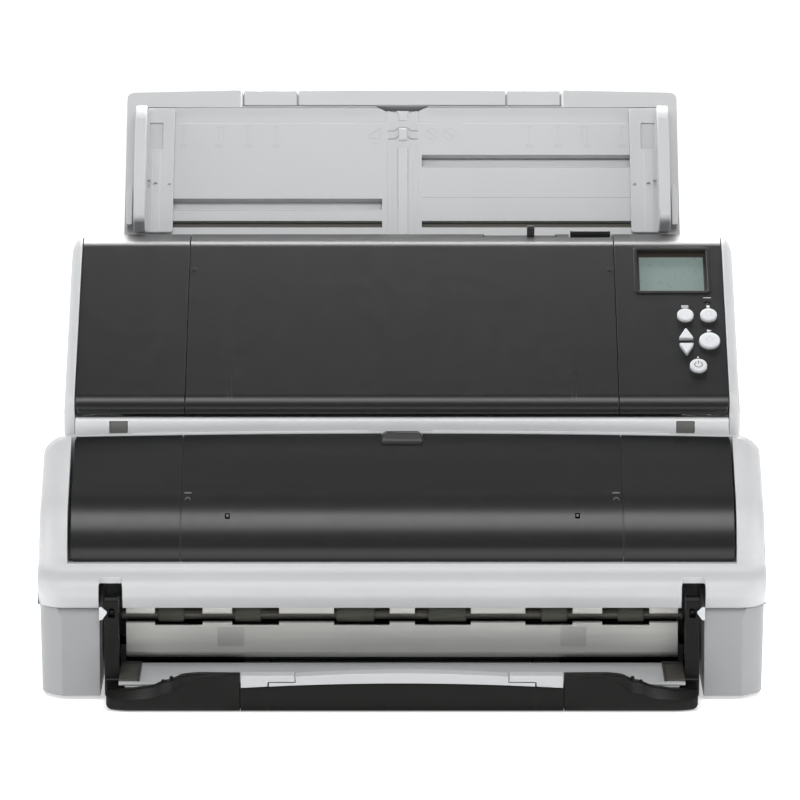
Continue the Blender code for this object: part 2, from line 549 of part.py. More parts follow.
# ---------------------------------------------------------------- paper chute
LEFT_SLOT, RIGHT_SLOT, LOW_SLOT = (20.5, 27.8), (49.3, 57.4), (8.5, 12.9)
chute_edge = [(-CHUTE_HALF, -10.0), (CHUTE_HALF, -10.0), (CHUTE_HALF, 90.0), (CHUTE_HALF - 4, 94.5),
              (94.8, 100.8), (94.8, 90.3), (13.5, 90.3), (8.5, 86.6), (-8.5, 86.6), (-13.5, 90.3), (-94.8, 90.3),
              (-94.8, 100.8), (-CHUTE_HALF + 4, 94.5), (-CHUTE_HALF, 90.0)]
chute_front = outline("paper_chute", "chute",
                      chute_edge, -10.9, 0.0, CHUTE_GREY)
cut(chute_front,
    outline("cut_slot_left", "chute", rect(-147.5, -11.5, *LEFT_SLOT), -8, 4),
    outline("cut_slot_right", "chute", rect(11.5, 147.5, *RIGHT_SLOT), -8, 4),
    outline("cut_low_slot_left", "chute", rect(-147.5, -11.5, *LOW_SLOT), -8, 4),
    outline("cut_low_slot_right", "chute", rect(11.5, 147.5, *LOW_SLOT), -8, 4),
    outline("cut_chute_pocket", "chute", rect(-157, 157, -6.5, 86.0), -20, -2.5),
    outline("cut_chute_mouth", "chute", rect(-94.4, 94.4, 80, 120), -20, -3.0))
outline("chute_back_cover", "chute", rect(-CHUTE_HALF, CHUTE_HALF, -10.0, 89.5), -13.4, -11.3, CHUTE_GREY)
ext_edge = [(-94.0, -4.0), (94.0, -4.0), (94.0, CHUTE_TOP), (-94.0, CHUTE_TOP)]
extension = outline("chute_extension", "chute", ext_edge, -10.5, -6.9, CHUTE_GREY)
join(extension, outline("join_ext_bar", "chute", rect(-94.2, 94.2, 91.0, CHUTE_TOP), -10.5, -0.6))
pivot("chute_extension_slide", 0, *chute(60, -8), extension)


def gear(teeth, pitch_r, bore):
    """Outline of a pinion with straight flanks and free play."""
    pitch = 2 * math.pi * pitch_r / teeth
    loop = []
    for i in range(teeth):
        mid = 2 * math.pi * (i + 0.5) / teeth + math.pi / 2
        for r, half in ((pitch_r - 1.9, 0.27 * pitch), (pitch_r, 0.165 * pitch), (pitch_r + 1.0, 0.09 * pitch)):
            loop.append((r, mid - half / r))
        for r, half in ((pitch_r + 1.0, 0.09 * pitch), (pitch_r, 0.165 * pitch), (pitch_r - 1.9, 0.27 * pitch)):
            loop.append((r, mid + half / r))
    points = [(r * math.cos(t), GUIDE_S + r * math.sin(t)) for r, t in loop]
    return [points, arc(0, GUIDE_S, bore, 0, 360, 16)[:-1]]


def rack(x0, x1, way):
    """Outline of a rack below (way 1) or above (way -1) the pinion; a tooth sits at x = 0."""
    pitch = 2 * math.pi * PINION_R / PINION_TEETH
    line = GUIDE_S - way * PINION_R
    first, last = math.ceil(max(x0 + 2, -130) / pitch), math.floor(min(x1 - 2, 130) / pitch)
    top = [(x0, line - way * 1.7)]
    for i in range(first, last + 1):
        x = i * pitch
        for dx, up in ((-0.27, -1.7), (-0.10, 1.0), (0.10, 1.0), (0.27, -1.7)):
            top.append((x + dx * pitch, line + way * up))
    top.append((x1, line - way * 1.7))
    back = line - way * 5.6
    return [(x0, back)] + top + [(x1, back)]


pinion = outline("guide_pinion", "chute", gear(PINION_TEETH, PINION_R, 2.4), -6.0, -3.0, BUTTON)
pivot("guide_pinion_axis", 0, *chute(GUIDE_S, -4.5), pinion)

for side, name in ((-1, "side_guide_left"), (1, "side_guide_right")):
    slot = LEFT_SLOT if side < 0 else RIGHT_SLOT
    base = outline(name, "chute", rect(*sorted((side * 132.6, side * 156.0)), 4.0, 87.5), 0.35, 2.6, CHUTE_GREY)
    fin_line = [chute(4.7, 1.2), chute(4.7, 12.0), chute(7.0, 15.0), chute(40, 18.5), chute(70, 17.0),
                chute(82, 13.0), chute(86.5, 8.0), chute(86.5, 1.2)]
    fin = outline("join_fin_" + name, "side", fin_line, *sorted((side * 149.0, side * 155.8)))
    low, high = (slot[0] + 0.6, 25.2) if side < 0 else (53.8, slot[1] - 0.9)
    foot_piece = outline("join_tongue_" + name, "chute", rect(*sorted((side * 134, side * 146.8)), low, high), -4.5, 1.5)
    arm_x = (-147, 9.0) if side < 0 else (-9.0, 147)
    bar = outline("join_rack_" + name, "chute", rack(*arm_x, -side), -6.0, -3.0)
    low_foot = outline("join_low_tongue_" + name, "chute",
                       rect(*sorted((side * 134, side * 146.8)), LOW_SLOT[0] + 0.6, LOW_SLOT[1] - 0.6), -2.2, 1.5)
    join(base, fin, foot_piece, bar, low_foot)
    for mod in base.modifiers:
        mod.solver = "MANIFOLD"    # the exact solver leaves the long rack's face open
    lock = outline("guide_lock_" + name.split("_")[-1], "chute",
                   rect(*sorted((side * 156.4, side * 160.4)), 6.0, 33.0), 2.0, 8.0, BLACK)
    guide_axis = pivot(name + "_slide", side * 145, *chute(45), base)
    pivot("guide_lock_" + name.split("_")[-1] + "_slide", side * 158, *chute(18, 4), lock, parent=guide_axis)
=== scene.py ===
import math

import bmesh
import bpy
from mathutils import Matrix, Vector


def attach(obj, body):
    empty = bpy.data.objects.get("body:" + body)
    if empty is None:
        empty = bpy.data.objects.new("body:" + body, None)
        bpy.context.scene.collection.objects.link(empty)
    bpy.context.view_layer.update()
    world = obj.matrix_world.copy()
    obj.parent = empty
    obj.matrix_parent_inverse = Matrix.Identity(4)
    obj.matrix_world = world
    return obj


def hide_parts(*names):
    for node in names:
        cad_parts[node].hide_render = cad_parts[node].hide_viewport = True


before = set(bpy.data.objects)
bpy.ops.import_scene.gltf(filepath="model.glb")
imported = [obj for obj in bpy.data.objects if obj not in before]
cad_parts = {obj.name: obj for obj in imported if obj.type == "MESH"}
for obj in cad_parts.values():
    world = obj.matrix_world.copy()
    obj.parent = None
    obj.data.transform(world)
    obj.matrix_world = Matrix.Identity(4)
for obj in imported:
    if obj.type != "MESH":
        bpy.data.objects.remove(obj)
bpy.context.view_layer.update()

scene = bpy.context.scene

# ------------------------------------------------------------------ working frame, millimetres
MM = 0.001
DEPTH_MID = 133.82
PANEL_HALF, SEAM, GAP = 183.1, 121.6, 0.35
BODY_HALF, COVER_HALF = 189.8, 183.4
SLOPE_LOW, SLOPE_TOP = (84.2, 154.7), (184.5, 219.9)
CHUTE_FOOT, CHUTE_HALF, CHUTE_TOP = (222.1, 216.9), 161.4, 101.9
_a = math.atan2(SLOPE_TOP[1] - SLOPE_LOW[1], SLOPE_TOP[0] - SLOPE_LOW[0])
SLOPE_LEN = math.hypot(SLOPE_TOP[0] - SLOPE_LOW[0], SLOPE_TOP[1] - SLOPE_LOW[1])
PT, PN = (math.cos(_a), math.sin(_a)), (-math.sin(_a), math.cos(_a))
_r = math.radians(40.0)
CT, CN = (math.sin(_r), math.cos(_r)), (-math.cos(_r), math.sin(_r))
LIP_R = 6.0
LIP_C = (SLOPE_LOW[0] - LIP_R * PN[0], SLOPE_LOW[1] - LIP_R * PN[1])
PATH_OFF = -26.5
PN_DEG = math.degrees(math.atan2(PN[1], PN[0]))


def panel(a, off=0.0):
    return (SLOPE_LOW[0] + a * PT[0] + off * PN[0], SLOPE_LOW[1] + a * PT[1] + off * PN[1])


def chute(s, n=0.0):
    return (CHUTE_FOOT[0] + s * CT[0] + n * CN[0], CHUTE_FOOT[1] + s * CT[1] + n * CN[1])


def P(x, y, z):
    return Vector((x * MM, (y - DEPTH_MID) * MM, z * MM))


# ------------------------------------------------------------------ camera and studio
cam_data = bpy.data.cameras.new("studio_camera")
cam_data.sensor_width = 36.0
cam_data.lens = 273.72
cam_data.shift_x = -0.0025
cam_data.clip_start, cam_data.clip_end = 0.05, 60.0
camera = bpy.data.objects.new("studio_camera", cam_data)
scene.collection.objects.link(camera)
camera.location = (0.0, -3.38452, 0.86020)
camera.rotation_euler = (math.radians(78.0), 0.0, 0.0)
scene.camera = camera
scene.view_settings.view_transform = "Standard"
scene.view_settings.look = "None"


def softbox(name, at, target, size, power, colour=(1.0, 1.0, 1.0)):
    data = bpy.data.lights.new(name, "AREA")
    data.shape = "RECTANGLE"
    data.size, data.size_y = size
    data.energy = power
    data.color = colour
    obj = bpy.data.objects.new(name, data)
    scene.collection.objects.link(obj)
    obj.location = at
    obj.rotation_euler = (Vector(target) - Vector(at)).to_track_quat("-Z", "Y").to_euler()
    obj.visible_camera = False
    return obj


softbox("softbox_front", (0.0, -1.62, 2.34), (0.0, 0.0, 0.12), (2.8, 1.05), 53)
softbox("softbox_top", (0.0, 0.585, 0.535), (0.0, 0.33, 0.0), (0.66, 0.54), 12.0)
softbox("softbox_left", (-2.3, -0.55, 0.9), (0.0, 0.0, 0.12), (1.2, 1.6), 21)
softbox("softbox_right", (2.3, -0.55, 0.9), (0.0, 0.0, 0.12), (1.2, 1.6), 21)
softbox("softbox_back", (0.0, 3.3, 1.25), (0.0, 0.0, 0.6), (6.0, 2.4), 56)
world = bpy.data.worlds.new("studio_world")
world.use_nodes = True
world.node_tree.nodes["Background"].inputs[0].default_value = (0.95, 0.97, 1.0, 1.0)
world.node_tree.nodes["Background"].inputs[1].default_value = 0.12
scene.world = world


# ------------------------------------------------------------------ materials
def material(name, base, rough, metal=0.0, spec=0.5, vary=0.05, patch=14.0, grain=1500.0, bump=0.00002,
             rough_vary=0.05, wear=0.0, wear_to=None, stretch=None, coat=0.0, strength=0.5, fleck=0.0, sheen=0.0):
    """A moulded or rolled finish: faint patches of colour, a fine grain in the surface, and lighter worn edges."""
    mat = bpy.data.materials.new(name)
    mat.use_nodes = True
    tree = mat.node_tree
    nodes, links = tree.nodes, tree.links
    shader = nodes["Principled BSDF"]
    shader.inputs["Metallic"].default_value = metal
    shader.inputs["Specular IOR Level"].default_value = spec
    shader.inputs["Coat Weight"].default_value = coat
    if coat:
        shader.inputs["Coat Roughness"].default_value = 0.18
    if sheen:
        shader.inputs["Sheen Weight"].default_value = sheen
    place = nodes.new("ShaderNodeTexCoord")
    vector = place.outputs["Object"]
    if stretch:
        turn = nodes.new("ShaderNodeMapping")
        turn.inputs["Scale"].default_value = stretch
        links.new(vector, turn.inputs["Vector"])
        vector = turn.outputs["Vector"]

    def noise(scale, detail, rough_in=0.55):
        node = nodes.new("ShaderNodeTexNoise")
        node.inputs["Scale"].default_value = scale
        node.inputs["Detail"].default_value = detail
        node.inputs["Roughness"].default_value = rough_in
        links.new(vector, node.inputs["Vector"])
        return node.outputs["Fac"]

    def mixed(fac, a, b):
        node = nodes.new("ShaderNodeMix")
        node.data_type = "RGBA"
        links.new(fac, node.inputs[0])
        for socket, value in ((node.inputs[6], a), (node.inputs[7], b)):
            if isinstance(value, tuple):
                socket.default_value = (*value, 1.0)
            else:
                links.new(value, socket)
        return node.outputs[2]

    def ramp(fac, low, high, to_low=0.0, to_high=1.0):
        node = nodes.new("ShaderNodeMapRange")
        links.new(fac, node.inputs["Value"])
        node.inputs["From Min"].default_value = low
        node.inputs["From Max"].default_value = high
        node.inputs["To Min"].default_value = to_low
        node.inputs["To Max"].default_value = to_high
        return node.outputs["Result"]

    big = noise(patch, 3)
    fine = noise(grain, 2)
    low = tuple(c * (1 - vary) for c in base)
    high = tuple(min(1.0, c * (1 + vary)) for c in base)
    colour = mixed(ramp(big, 0.3, 0.7), low, high)
    if fleck:
        spot = noise(grain * 1.7, 1)
        colour = mixed(ramp(spot, 0.58, 0.74, 0.0, fleck), colour, tuple(min(1.0, c * 2.2 + 0.02) for c in base))
    if wear:
        geometry = nodes.new("ShaderNodeNewGeometry")
        rounded = nodes.new("ShaderNodeBevel")
        rounded.samples = 3
        rounded.inputs["Radius"].default_value = 0.0005
        turn_by = nodes.new("ShaderNodeVectorMath")
        turn_by.operation = "DOT_PRODUCT"
        links.new(rounded.outputs["Normal"], turn_by.inputs[0])
        links.new(geometry.outputs["Normal"], turn_by.inputs[1])
        edge = ramp(turn_by.outputs["Value"], 0.995, 0.90, 0.0, wear)
        colour = mixed(edge, colour, wear_to or tuple(min(1.0, c * 1.35 + 0.02) for c in base))
    links.new(colour, shader.inputs["Base Color"])
    links.new(ramp(noise(patch * 9, 4), 0.25, 0.75, max(0.02, rough - rough_vary), min(1.0, rough + rough_vary)),
              shader.inputs["Roughness"])
    node = nodes.new("ShaderNodeBump")
    node.inputs["Strength"].default_value = strength
    node.inputs["Distance"].default_value = bump
    links.new(fine, node.inputs["Height"])
    links.new(node.outputs["Normal"], shader.inputs["Normal"])
    return mat


WHITE = material("white_abs", (0.546, 0.552, 0.562), 0.46, wear=0.5, wear_to=(0.68, 0.69, 0.70), bump=0.000012, vary=0.022)
# the housing's white ABS at a higher albedo: painted light on the upward-facing ledge of the scanner front cover
LEDGE_PAINTED_LIGHT = material("white_abs_painted_light", (0.72, 0.725, 0.73), 0.46, wear=0.4, bump=0.000012, vary=0.022)
# the housing's white ABS at a lower albedo: painted shade on the bed and the stacker plate, which sit low and in under
# the housing
WHITE_PAINTED_SHADE = material("white_abs_painted_shade", (0.455, 0.460, 0.468), 0.5, wear=0.4, bump=0.000012, vary=0.03)
# the housing's white ABS at a lower albedo: painted shade on the recessed cheeks
CHEEK_PAINTED_SHADE = material("white_abs_cheek_painted_shade", (0.318, 0.323, 0.330), 0.42, wear=0.4, bump=0.000012, vary=0.03)
CHUTE = material("chute_abs", (0.488, 0.494, 0.502), 0.5, wear=0.5, wear_to=(0.72, 0.73, 0.735), bump=0.000014, vary=0.02)
GUIDE = material("guide_abs", (0.500, 0.507, 0.517), 0.44, wear=0.5, bump=0.000010, vary=0.02)
DARK = material("dark_panel_abs", (0.0070, 0.0071, 0.0074), 0.345, wear=0.35, wear_to=(0.075, 0.075, 0.08),
                grain=1250.0, bump=0.000030, strength=0.6, vary=0.03, rough_vary=0.02, fleck=0.16, spec=0.54)
DARK_SEAM = material("dark_seam", (0.010, 0.010, 0.010), 0.7, grain=900)
STACK = material("black_abs_tray", (0.0052, 0.0050, 0.0045), 0.40, spec=0.2, wear=0.3, wear_to=(0.04, 0.04, 0.042), grain=1300.0, bump=0.00002, vary=0.08)
BLACK = material("black_abs", (0.0185, 0.0185, 0.0190), 0.42, wear=0.4, wear_to=(0.06, 0.06, 0.062), grain=1300.0,
                 bump=0.00002, vary=0.08)
SOOT = material("inner_black", (0.012, 0.012, 0.0115), 0.6, grain=900.0, bump=0.00002)
PLATE = material("guide_plate", (0.880, 0.874, 0.834), 0.40, metal=0.30, stretch=(1.0, 22.0, 22.0), grain=260.0,
                 bump=0.000006, vary=0.05, patch=9.0, rough_vary=0.08)
GALV = material("sheet_steel", (0.47, 0.47, 0.47), 0.32, metal=1.0, stretch=(1.0, 18.0, 18.0), grain=240.0,
                bump=0.000006, vary=0.08, patch=26.0, rough_vary=0.1)
STEEL = material("ground_steel", (0.42, 0.42, 0.425), 0.24, metal=1.0, stretch=(40.0, 1.0, 1.0), grain=120.0,
                 bump=0.000004, vary=0.05, patch=30.0)
SHAFT = material("dark_shaft", (0.155, 0.145, 0.128), 0.42, metal=0.30, stretch=(30.0, 1.0, 1.0), grain=120.0,
                 bump=0.000004, vary=0.08)
RUBBER = material("roller_rubber", (0.150, 0.156, 0.128), 0.78, stretch=(1.0, 14.0, 14.0), grain=130.0, bump=0.00003,
                  vary=0.14, patch=60.0, spec=0.35, strength=0.7)
FOOT = material("foot_rubber", (0.020, 0.020, 0.020), 0.85, grain=1100.0, bump=0.00006, spec=0.3)
KEY = material("key_abs", (0.640, 0.655, 0.670), 0.38, wear=0.6, wear_to=(0.80, 0.80, 0.80), bump=0.000008, vary=0.02)
PAINT = material("white_print", (0.74, 0.75, 0.76), 0.5, grain=2600.0, bump=0.00001, vary=0.03)
GREY_PRINT = material("grey_print", (0.20, 0.20, 0.20), 0.5, grain=2600.0, bump=0.00001)
GREY_CAP = material("grey_cap", (0.142, 0.142, 0.134), 0.5, wear=0.3, bump=0.000014)
LCD = material("display_cell", (0.205, 0.262, 0.247), 0.30, vary=0.05, patch=30.0, grain=4200.0, bump=0.000004, coat=0.35)
BOARD = material("circuit_board", (0.016, 0.105, 0.045), 0.38, grain=520.0, bump=0.00003, vary=0.22, patch=130.0, coat=0.4)
CHIP = material("chip_epoxy", (0.02, 0.02, 0.021), 0.55, grain=1400.0, bump=0.00003)
BRASS = material("gold_contact", (0.62, 0.45, 0.18), 0.3, metal=1.0, grain=800.0, bump=0.00001)
GLASS = material("scan_glass", (0.05, 0.07, 0.07), 0.06, spec=0.6, grain=300.0, bump=0.000002, coat=0.6, rough_vary=0.03)
LENS = material("status_lens", (0.10, 0.045, 0.012), 0.2, coat=0.5, grain=3000.0, bump=0.00001)
BELT = material("belt_rubber", (0.022, 0.022, 0.022), 0.7, stretch=(1.0, 1.0, 1.0), grain=700.0, bump=0.00008)


# ------------------------------------------------------------------ mesh tools
def new_object(name, mesh):
    obj = bpy.data.objects.new(name, mesh)
    scene.collection.objects.link(obj)
    return obj


def plane_matrix(kind):
    if kind == "side":
        cols, origin = ((0, 1, 0), (0, 0, 1), (1, 0, 0)), P(0, 0, 0)
    elif kind == "plan":
        cols, origin = ((1, 0, 0), (0, 1, 0), (0, 0, 1)), P(0, 0, 0)
    elif kind == "front":
        cols, origin = ((1, 0, 0), (0, 0, 1), (0, -1, 0)), P(0, 0, 0)
    elif kind == "panel":
        cols, origin = ((1, 0, 0), (0, *PT), (0, *PN)), P(0, *SLOPE_LOW)
    else:
        cols, origin = ((1, 0, 0), (0, *CT), (0, *CN)), P(0, *CHUTE_FOOT)
    mat = Matrix(cols).transposed().to_4x4()
    mat.translation = origin
    return mat


def outline(name, kind, loops, lo, hi):
    """A flat outline, with any holes, extruded between two offsets along its plane's normal."""
    if not isinstance(loops[0][0], (tuple, list)):
        loops = [loops]
    mesh = bpy.data.meshes.new(name)
    bm = bmesh.new()
    if len(loops) == 1:
        verts = [bm.verts.new((u * MM, v * MM, lo * MM)) for u, v in loops[0]]
        face = bm.faces.new(verts)
        top = bmesh.ops.extrude_face_region(bm, geom=[face])
        moved = [g for g in top["geom"] if isinstance(g, bmesh.types.BMVert)]
        bmesh.ops.translate(bm, verts=moved, vec=(0, 0, (hi - lo) * MM))
    else:
        curve = bpy.data.curves.new(name + "_outline", "CURVE")
        curve.dimensions = "2D"
        curve.fill_mode = "BOTH"
        curve.extrude = (hi - lo) / 2 * MM
        for loop in loops:
            line = curve.splines.new("POLY")
            line.points.add(len(loop) - 1)
            for at, (u, v) in zip(line.points, loop):
                at.co = (u * MM, v * MM, 0, 1)
            line.use_cyclic_u = True
        temp = bpy.data.objects.new(name + "_temp", curve)
        scene.collection.objects.link(temp)
        graph = bpy.context.evaluated_depsgraph_get()
        made = bpy.data.meshes.new_from_object(temp.evaluated_get(graph))
        bpy.data.objects.remove(temp)
        bpy.data.curves.remove(curve)
        bm.from_mesh(made)
        bpy.data.meshes.remove(made)
        bmesh.ops.remove_doubles(bm, verts=bm.verts, dist=1e-6)
        bmesh.ops.translate(bm, verts=bm.verts, vec=(0, 0, (lo + hi) / 2 * MM))
    bm.transform(plane_matrix(kind))
    bmesh.ops.recalc_face_normals(bm, faces=bm.faces)
    if bm.calc_volume(signed=True) < 0:
        bmesh.ops.reverse_faces(bm, faces=bm.faces)
    bm.to_mesh(mesh)
    bm.free()
    return new_object(name, mesh)


def block(name, x, y, z):
    bm = bmesh.new()
    bmesh.ops.create_cube(bm, size=1.0)
    for v in bm.verts:
        v.co = P(x[0] + (v.co.x + 0.5) * (x[1] - x[0]), y[0] + (v.co.y + 0.5) * (y[1] - y[0]),
                 z[0] + (v.co.z + 0.5) * (z[1] - z[0]))
    mesh = bpy.data.meshes.new(name)
    bm.to_mesh(mesh)
    bm.free()
    return new_object(name, mesh)


def lathe(name, start, end, profile, sides=48):
    """A turned shape: profile lists (distance from start, radius) along the axis from start to end."""
    a, b = P(*start), P(*end)
    axis = (b - a).normalized()
    side = Vector((0, 0, 1)) if abs(axis.z) < 0.9 else Vector((1, 0, 0))
    u = axis.cross(side).normalized()
    v = axis.cross(u).normalized()
    bm = bmesh.new()
    rings = []
    for t, r in profile:
        centre = a + axis * t * MM
        if r <= 1e-6:
            rings.append([bm.verts.new(centre)])
        else:
            rings.append([bm.verts.new(centre + (u * math.cos(2 * math.pi * i / sides)
                                                 + v * math.sin(2 * math.pi * i / sides)) * r * MM)
                          for i in range(sides)])
    for one, two in zip(rings, rings[1:]):
        for i in range(sides):
            j = (i + 1) % sides
            if len(one) == 1 and len(two) == 1:
                continue
            if len(one) == 1:
                bm.faces.new((one[0], two[i], two[j]))
            elif len(two) == 1:
                bm.faces.new((one[i], two[0], one[j]))
            else:
                bm.faces.new((one[i], two[i], two[j], one[j]))
    for ring in (rings[0], rings[-1]):
        if len(ring) > 1:
            bm.faces.new(ring)
    bmesh.ops.recalc_face_normals(bm, faces=bm.faces)
    if bm.calc_volume(signed=True) < 0:
        bmesh.ops.reverse_faces(bm, faces=bm.faces)
    mesh = bpy.data.meshes.new(name)
    bm.to_mesh(mesh)
    bm.free()
    mesh.shade_smooth()
    mesh.set_sharp_from_angle(angle=math.radians(38))
    return new_object(name, mesh)


def loft(name, sections, closed_line=True):
    """Faces between sections of equal length, each a list of working-frame points, with filled ends."""
    bm = bmesh.new()
    rings = [[bm.verts.new(P(*p)) for p in ring] for ring in sections]
    n = len(rings[0])
    for one, two in zip(rings, rings[1:]):
        for i in range(n if closed_line else n - 1):
            j = (i + 1) % n
            bm.faces.new((one[i], two[i], two[j], one[j]))
    bm.faces.new(rings[0])
    bm.faces.new(rings[-1])
    bmesh.ops.recalc_face_normals(bm, faces=bm.faces)
    if bm.calc_volume(signed=True) < 0:
        bmesh.ops.reverse_faces(bm, faces=bm.faces)
    mesh = bpy.data.meshes.new(name)
    bm.to_mesh(mesh)
    bm.free()
    return new_object(name, mesh)


def settle(obj):
    """Applies the modifiers."""
    graph = bpy.context.evaluated_depsgraph_get()
    mesh = bpy.data.meshes.new_from_object(obj.evaluated_get(graph))
    old = obj.data
    obj.modifiers.clear()
    obj.data = mesh
    bpy.data.meshes.remove(old)
    mesh.name = obj.name
    return obj


def boolean(obj, others, kind="DIFFERENCE", solver="EXACT"):
    for other in others:
        mod = obj.modifiers.new("shape", "BOOLEAN")
        mod.operation = kind
        mod.solver = solver
        mod.object = other
    settle(obj)
    for other in others:
        data = other.data
        bpy.data.objects.remove(other)
        bpy.data.meshes.remove(data)
    return obj


def cut(obj, *others):
    return boolean(obj, others)


def join(obj, *others):
    return boolean(obj, others, "UNION")


def common(obj, *others):
    return boolean(obj, others, "INTERSECT")


def merge(name, objs):
    """Several separate solids in one object."""
    bm = bmesh.new()
    for o in objs:
        bm.from_mesh(o.data)
    mesh = bpy.data.meshes.new(name)
    bm.to_mesh(mesh)
    bm.free()
    for o in objs:
        data = o.data
        bpy.data.objects.remove(o)
        bpy.data.meshes.remove(data)
    return new_object(name, mesh)


def tidy(obj, merge_at=0.012, flat=0.25):
    bm = bmesh.new()
    bm.from_mesh(obj.data)
    bmesh.ops.remove_doubles(bm, verts=bm.verts, dist=merge_at * MM)
    bmesh.ops.dissolve_limit(bm, angle_limit=math.radians(flat), verts=bm.verts, edges=bm.edges)
    bmesh.ops.dissolve_degenerate(bm, dist=1e-6, edges=bm.edges)
    bm.to_mesh(obj.data)
    bm.free()
    return obj


def spans_of(cutters):
    out = []
    for cutter in cutters:
        points = [v.co for v in cutter.data.vertices]
        out.append((Vector([min(p[i] for p in points) - 0.00004 for i in range(3)]),
                    Vector([max(p[i] for p in points) + 0.00004 for i in range(3)])))
    return out


def soften(obj, width=0.35, segments=2, angle=32.0, clean=True, late=(), crisp=()):
    """Rounds every edge a moulding tool would leave rounded; late cutters are fine details left crisp."""
    if clean and not late and not crisp:
        tidy(obj)
    mod_kind = "ANGLE"
    if late or crisp:
        spans = list(crisp) + spans_of(late)
        before = whole(obj)
        for cutter in late:
            name = cutter.name
            boolean(obj, [cutter])
            count = open_edges(obj)
            if count:
                print("OPEN", obj.name, name, count)
        after = whole(obj)
        if not 0.88 * before <= after <= before * 1.001:
            print("LATE CUT", obj.name, before, after)
        tidy(obj, 0.003, 0.1)
        bm = bmesh.new()
        bm.from_mesh(obj.data)
        layer = bm.edges.layers.float.get("bevel_weight_edge") or bm.edges.layers.float.new("bevel_weight_edge")
        limit = math.radians(angle)
        for edge in bm.edges:
            sharp = len(edge.link_faces) == 2 and edge.calc_face_angle(0) > limit
            if sharp:
                mid = (edge.verts[0].co + edge.verts[1].co) / 2
                for lo, hi in spans:
                    if all(lo[i] <= mid[i] <= hi[i] for i in range(3)):
                        sharp = False
                        break
            edge[layer] = 1.0 if sharp else 0.0
        bm.to_mesh(obj.data)
        bm.free()
        mod_kind = "WEIGHT"
    mod = obj.modifiers.new("edges", "BEVEL")
    mod.limit_method = mod_kind
    mod.angle_limit = math.radians(angle)
    mod.width = width * MM
    mod.segments = segments
    mod.use_clamp_overlap = False
    mod.harden_normals = False
    mod.miter_outer = "MITER_SHARP"
    settle(obj)
    return even_normals(obj, 46 if late or crisp else 60)


def even_normals(obj, angle):
    """Shades broad faces flat and lets the rounded edges carry the turn."""
    obj.data.shade_smooth()
    obj.data.set_sharp_from_angle(angle=math.radians(angle))
    normals = obj.modifiers.new("normals", "WEIGHTED_NORMAL")
    normals.keep_sharp = True
    normals.weight = 60
    return settle(obj)


def flat_shade(obj, direction, least=0.97):
    """Level faces that look along the direction are shaded as one flat plane."""
    mesh = obj.data
    way = Vector(direction).normalized()
    normals = [tuple(n.vector) for n in mesh.corner_normals]
    for face in mesh.polygons:
        if face.normal.dot(way) > least or face.area < 4e-9:
            for corner in face.loop_indices:
                normals[corner] = tuple(way)
    mesh.normals_split_custom_set(normals)
    return obj


def slice_x(obj, xs):
    """Cross-sections added at the given widths, so that the shape can be bowed."""
    bm = bmesh.new()
    bm.from_mesh(obj.data)
    for x in xs:
        bmesh.ops.bisect_plane(bm, geom=bm.verts[:] + bm.edges[:] + bm.faces[:], plane_co=(x * MM, 0, 0), plane_no=(1, 0, 0))
    bm.to_mesh(obj.data)
    bm.free()
    return obj


def flat_faces(obj):
    """Triangles only, so that every face is flat before a Boolean."""
    bm = bmesh.new()
    bm.from_mesh(obj.data)
    bmesh.ops.triangulate(bm, faces=bm.faces)
    bm.to_mesh(obj.data)
    bm.free()
    return obj


def bow(obj, drop, low_z, high_z, at=165.0):
    """Lowers the shape toward its ends, from nothing at low_z to the whole drop at high_z."""
    for v in obj.data.vertices:
        v.co.z -= drop * MM * (v.co.x / MM / at) ** 2 * smooth_step((v.co.z / MM - low_z) / (high_z - low_z))
    return obj


def open_edges(obj):
    bm = bmesh.new()
    bm.from_mesh(obj.data)
    count = sum(1 for e in bm.edges if len(e.link_faces) != 2)
    bm.free()
    return count


def whole(obj):
    """The volume an object's surface encloses, in millilitres."""
    bm = bmesh.new()
    bm.from_mesh(obj.data)
    volume = bm.calc_volume(signed=True) * 1e6
    bm.free()
    return volume


def fine_cuts(obj, cutters):
    """Fine details cut one at a time into a rounded shape; one that would tear the surface is left out."""
    flat_faces(obj)
    loose = open_edges(obj)
    for cutter in cutters:
        spare, volume = obj.data.copy(), whole(obj)
        boolean(obj, [cutter])
        if open_edges(obj) > loose or not 0.97 * volume <= whole(obj) <= volume * 1.0001:
            torn, obj.data = obj.data, spare
            bpy.data.meshes.remove(torn)
        else:
            bpy.data.meshes.remove(spare)
    return even_normals(obj, 46)


def round_edges(obj, width, segments, keep):
    bm = bmesh.new()
    bm.from_mesh(obj.data)
    chosen = []
    for edge in bm.edges:
        if len(edge.link_faces) != 2 or edge.calc_face_angle(0) < 0.3:
            continue
        a, b = (Vector((v.co.x / MM, v.co.y / MM + DEPTH_MID, v.co.z / MM)) for v in edge.verts)
        if keep(a, b):
            chosen.append(edge)
    if chosen:
        bmesh.ops.bevel(bm, geom=chosen, offset=width * MM, segments=segments, profile=0.5, affect="EDGES",
                        clamp_overlap=True)
    bmesh.ops.recalc_face_normals(bm, faces=bm.faces)
    bm.to_mesh(obj.data)
    bm.free()
    return obj


def done(obj, mat, body, slot, *nodes):
    """Material, body, and the CAD nodes the piece stands for; the slot argument is not used."""
    obj.data.materials.clear()
    obj.data.materials.append(mat)
    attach(obj, body)
    if nodes:
        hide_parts(*nodes)
    return obj


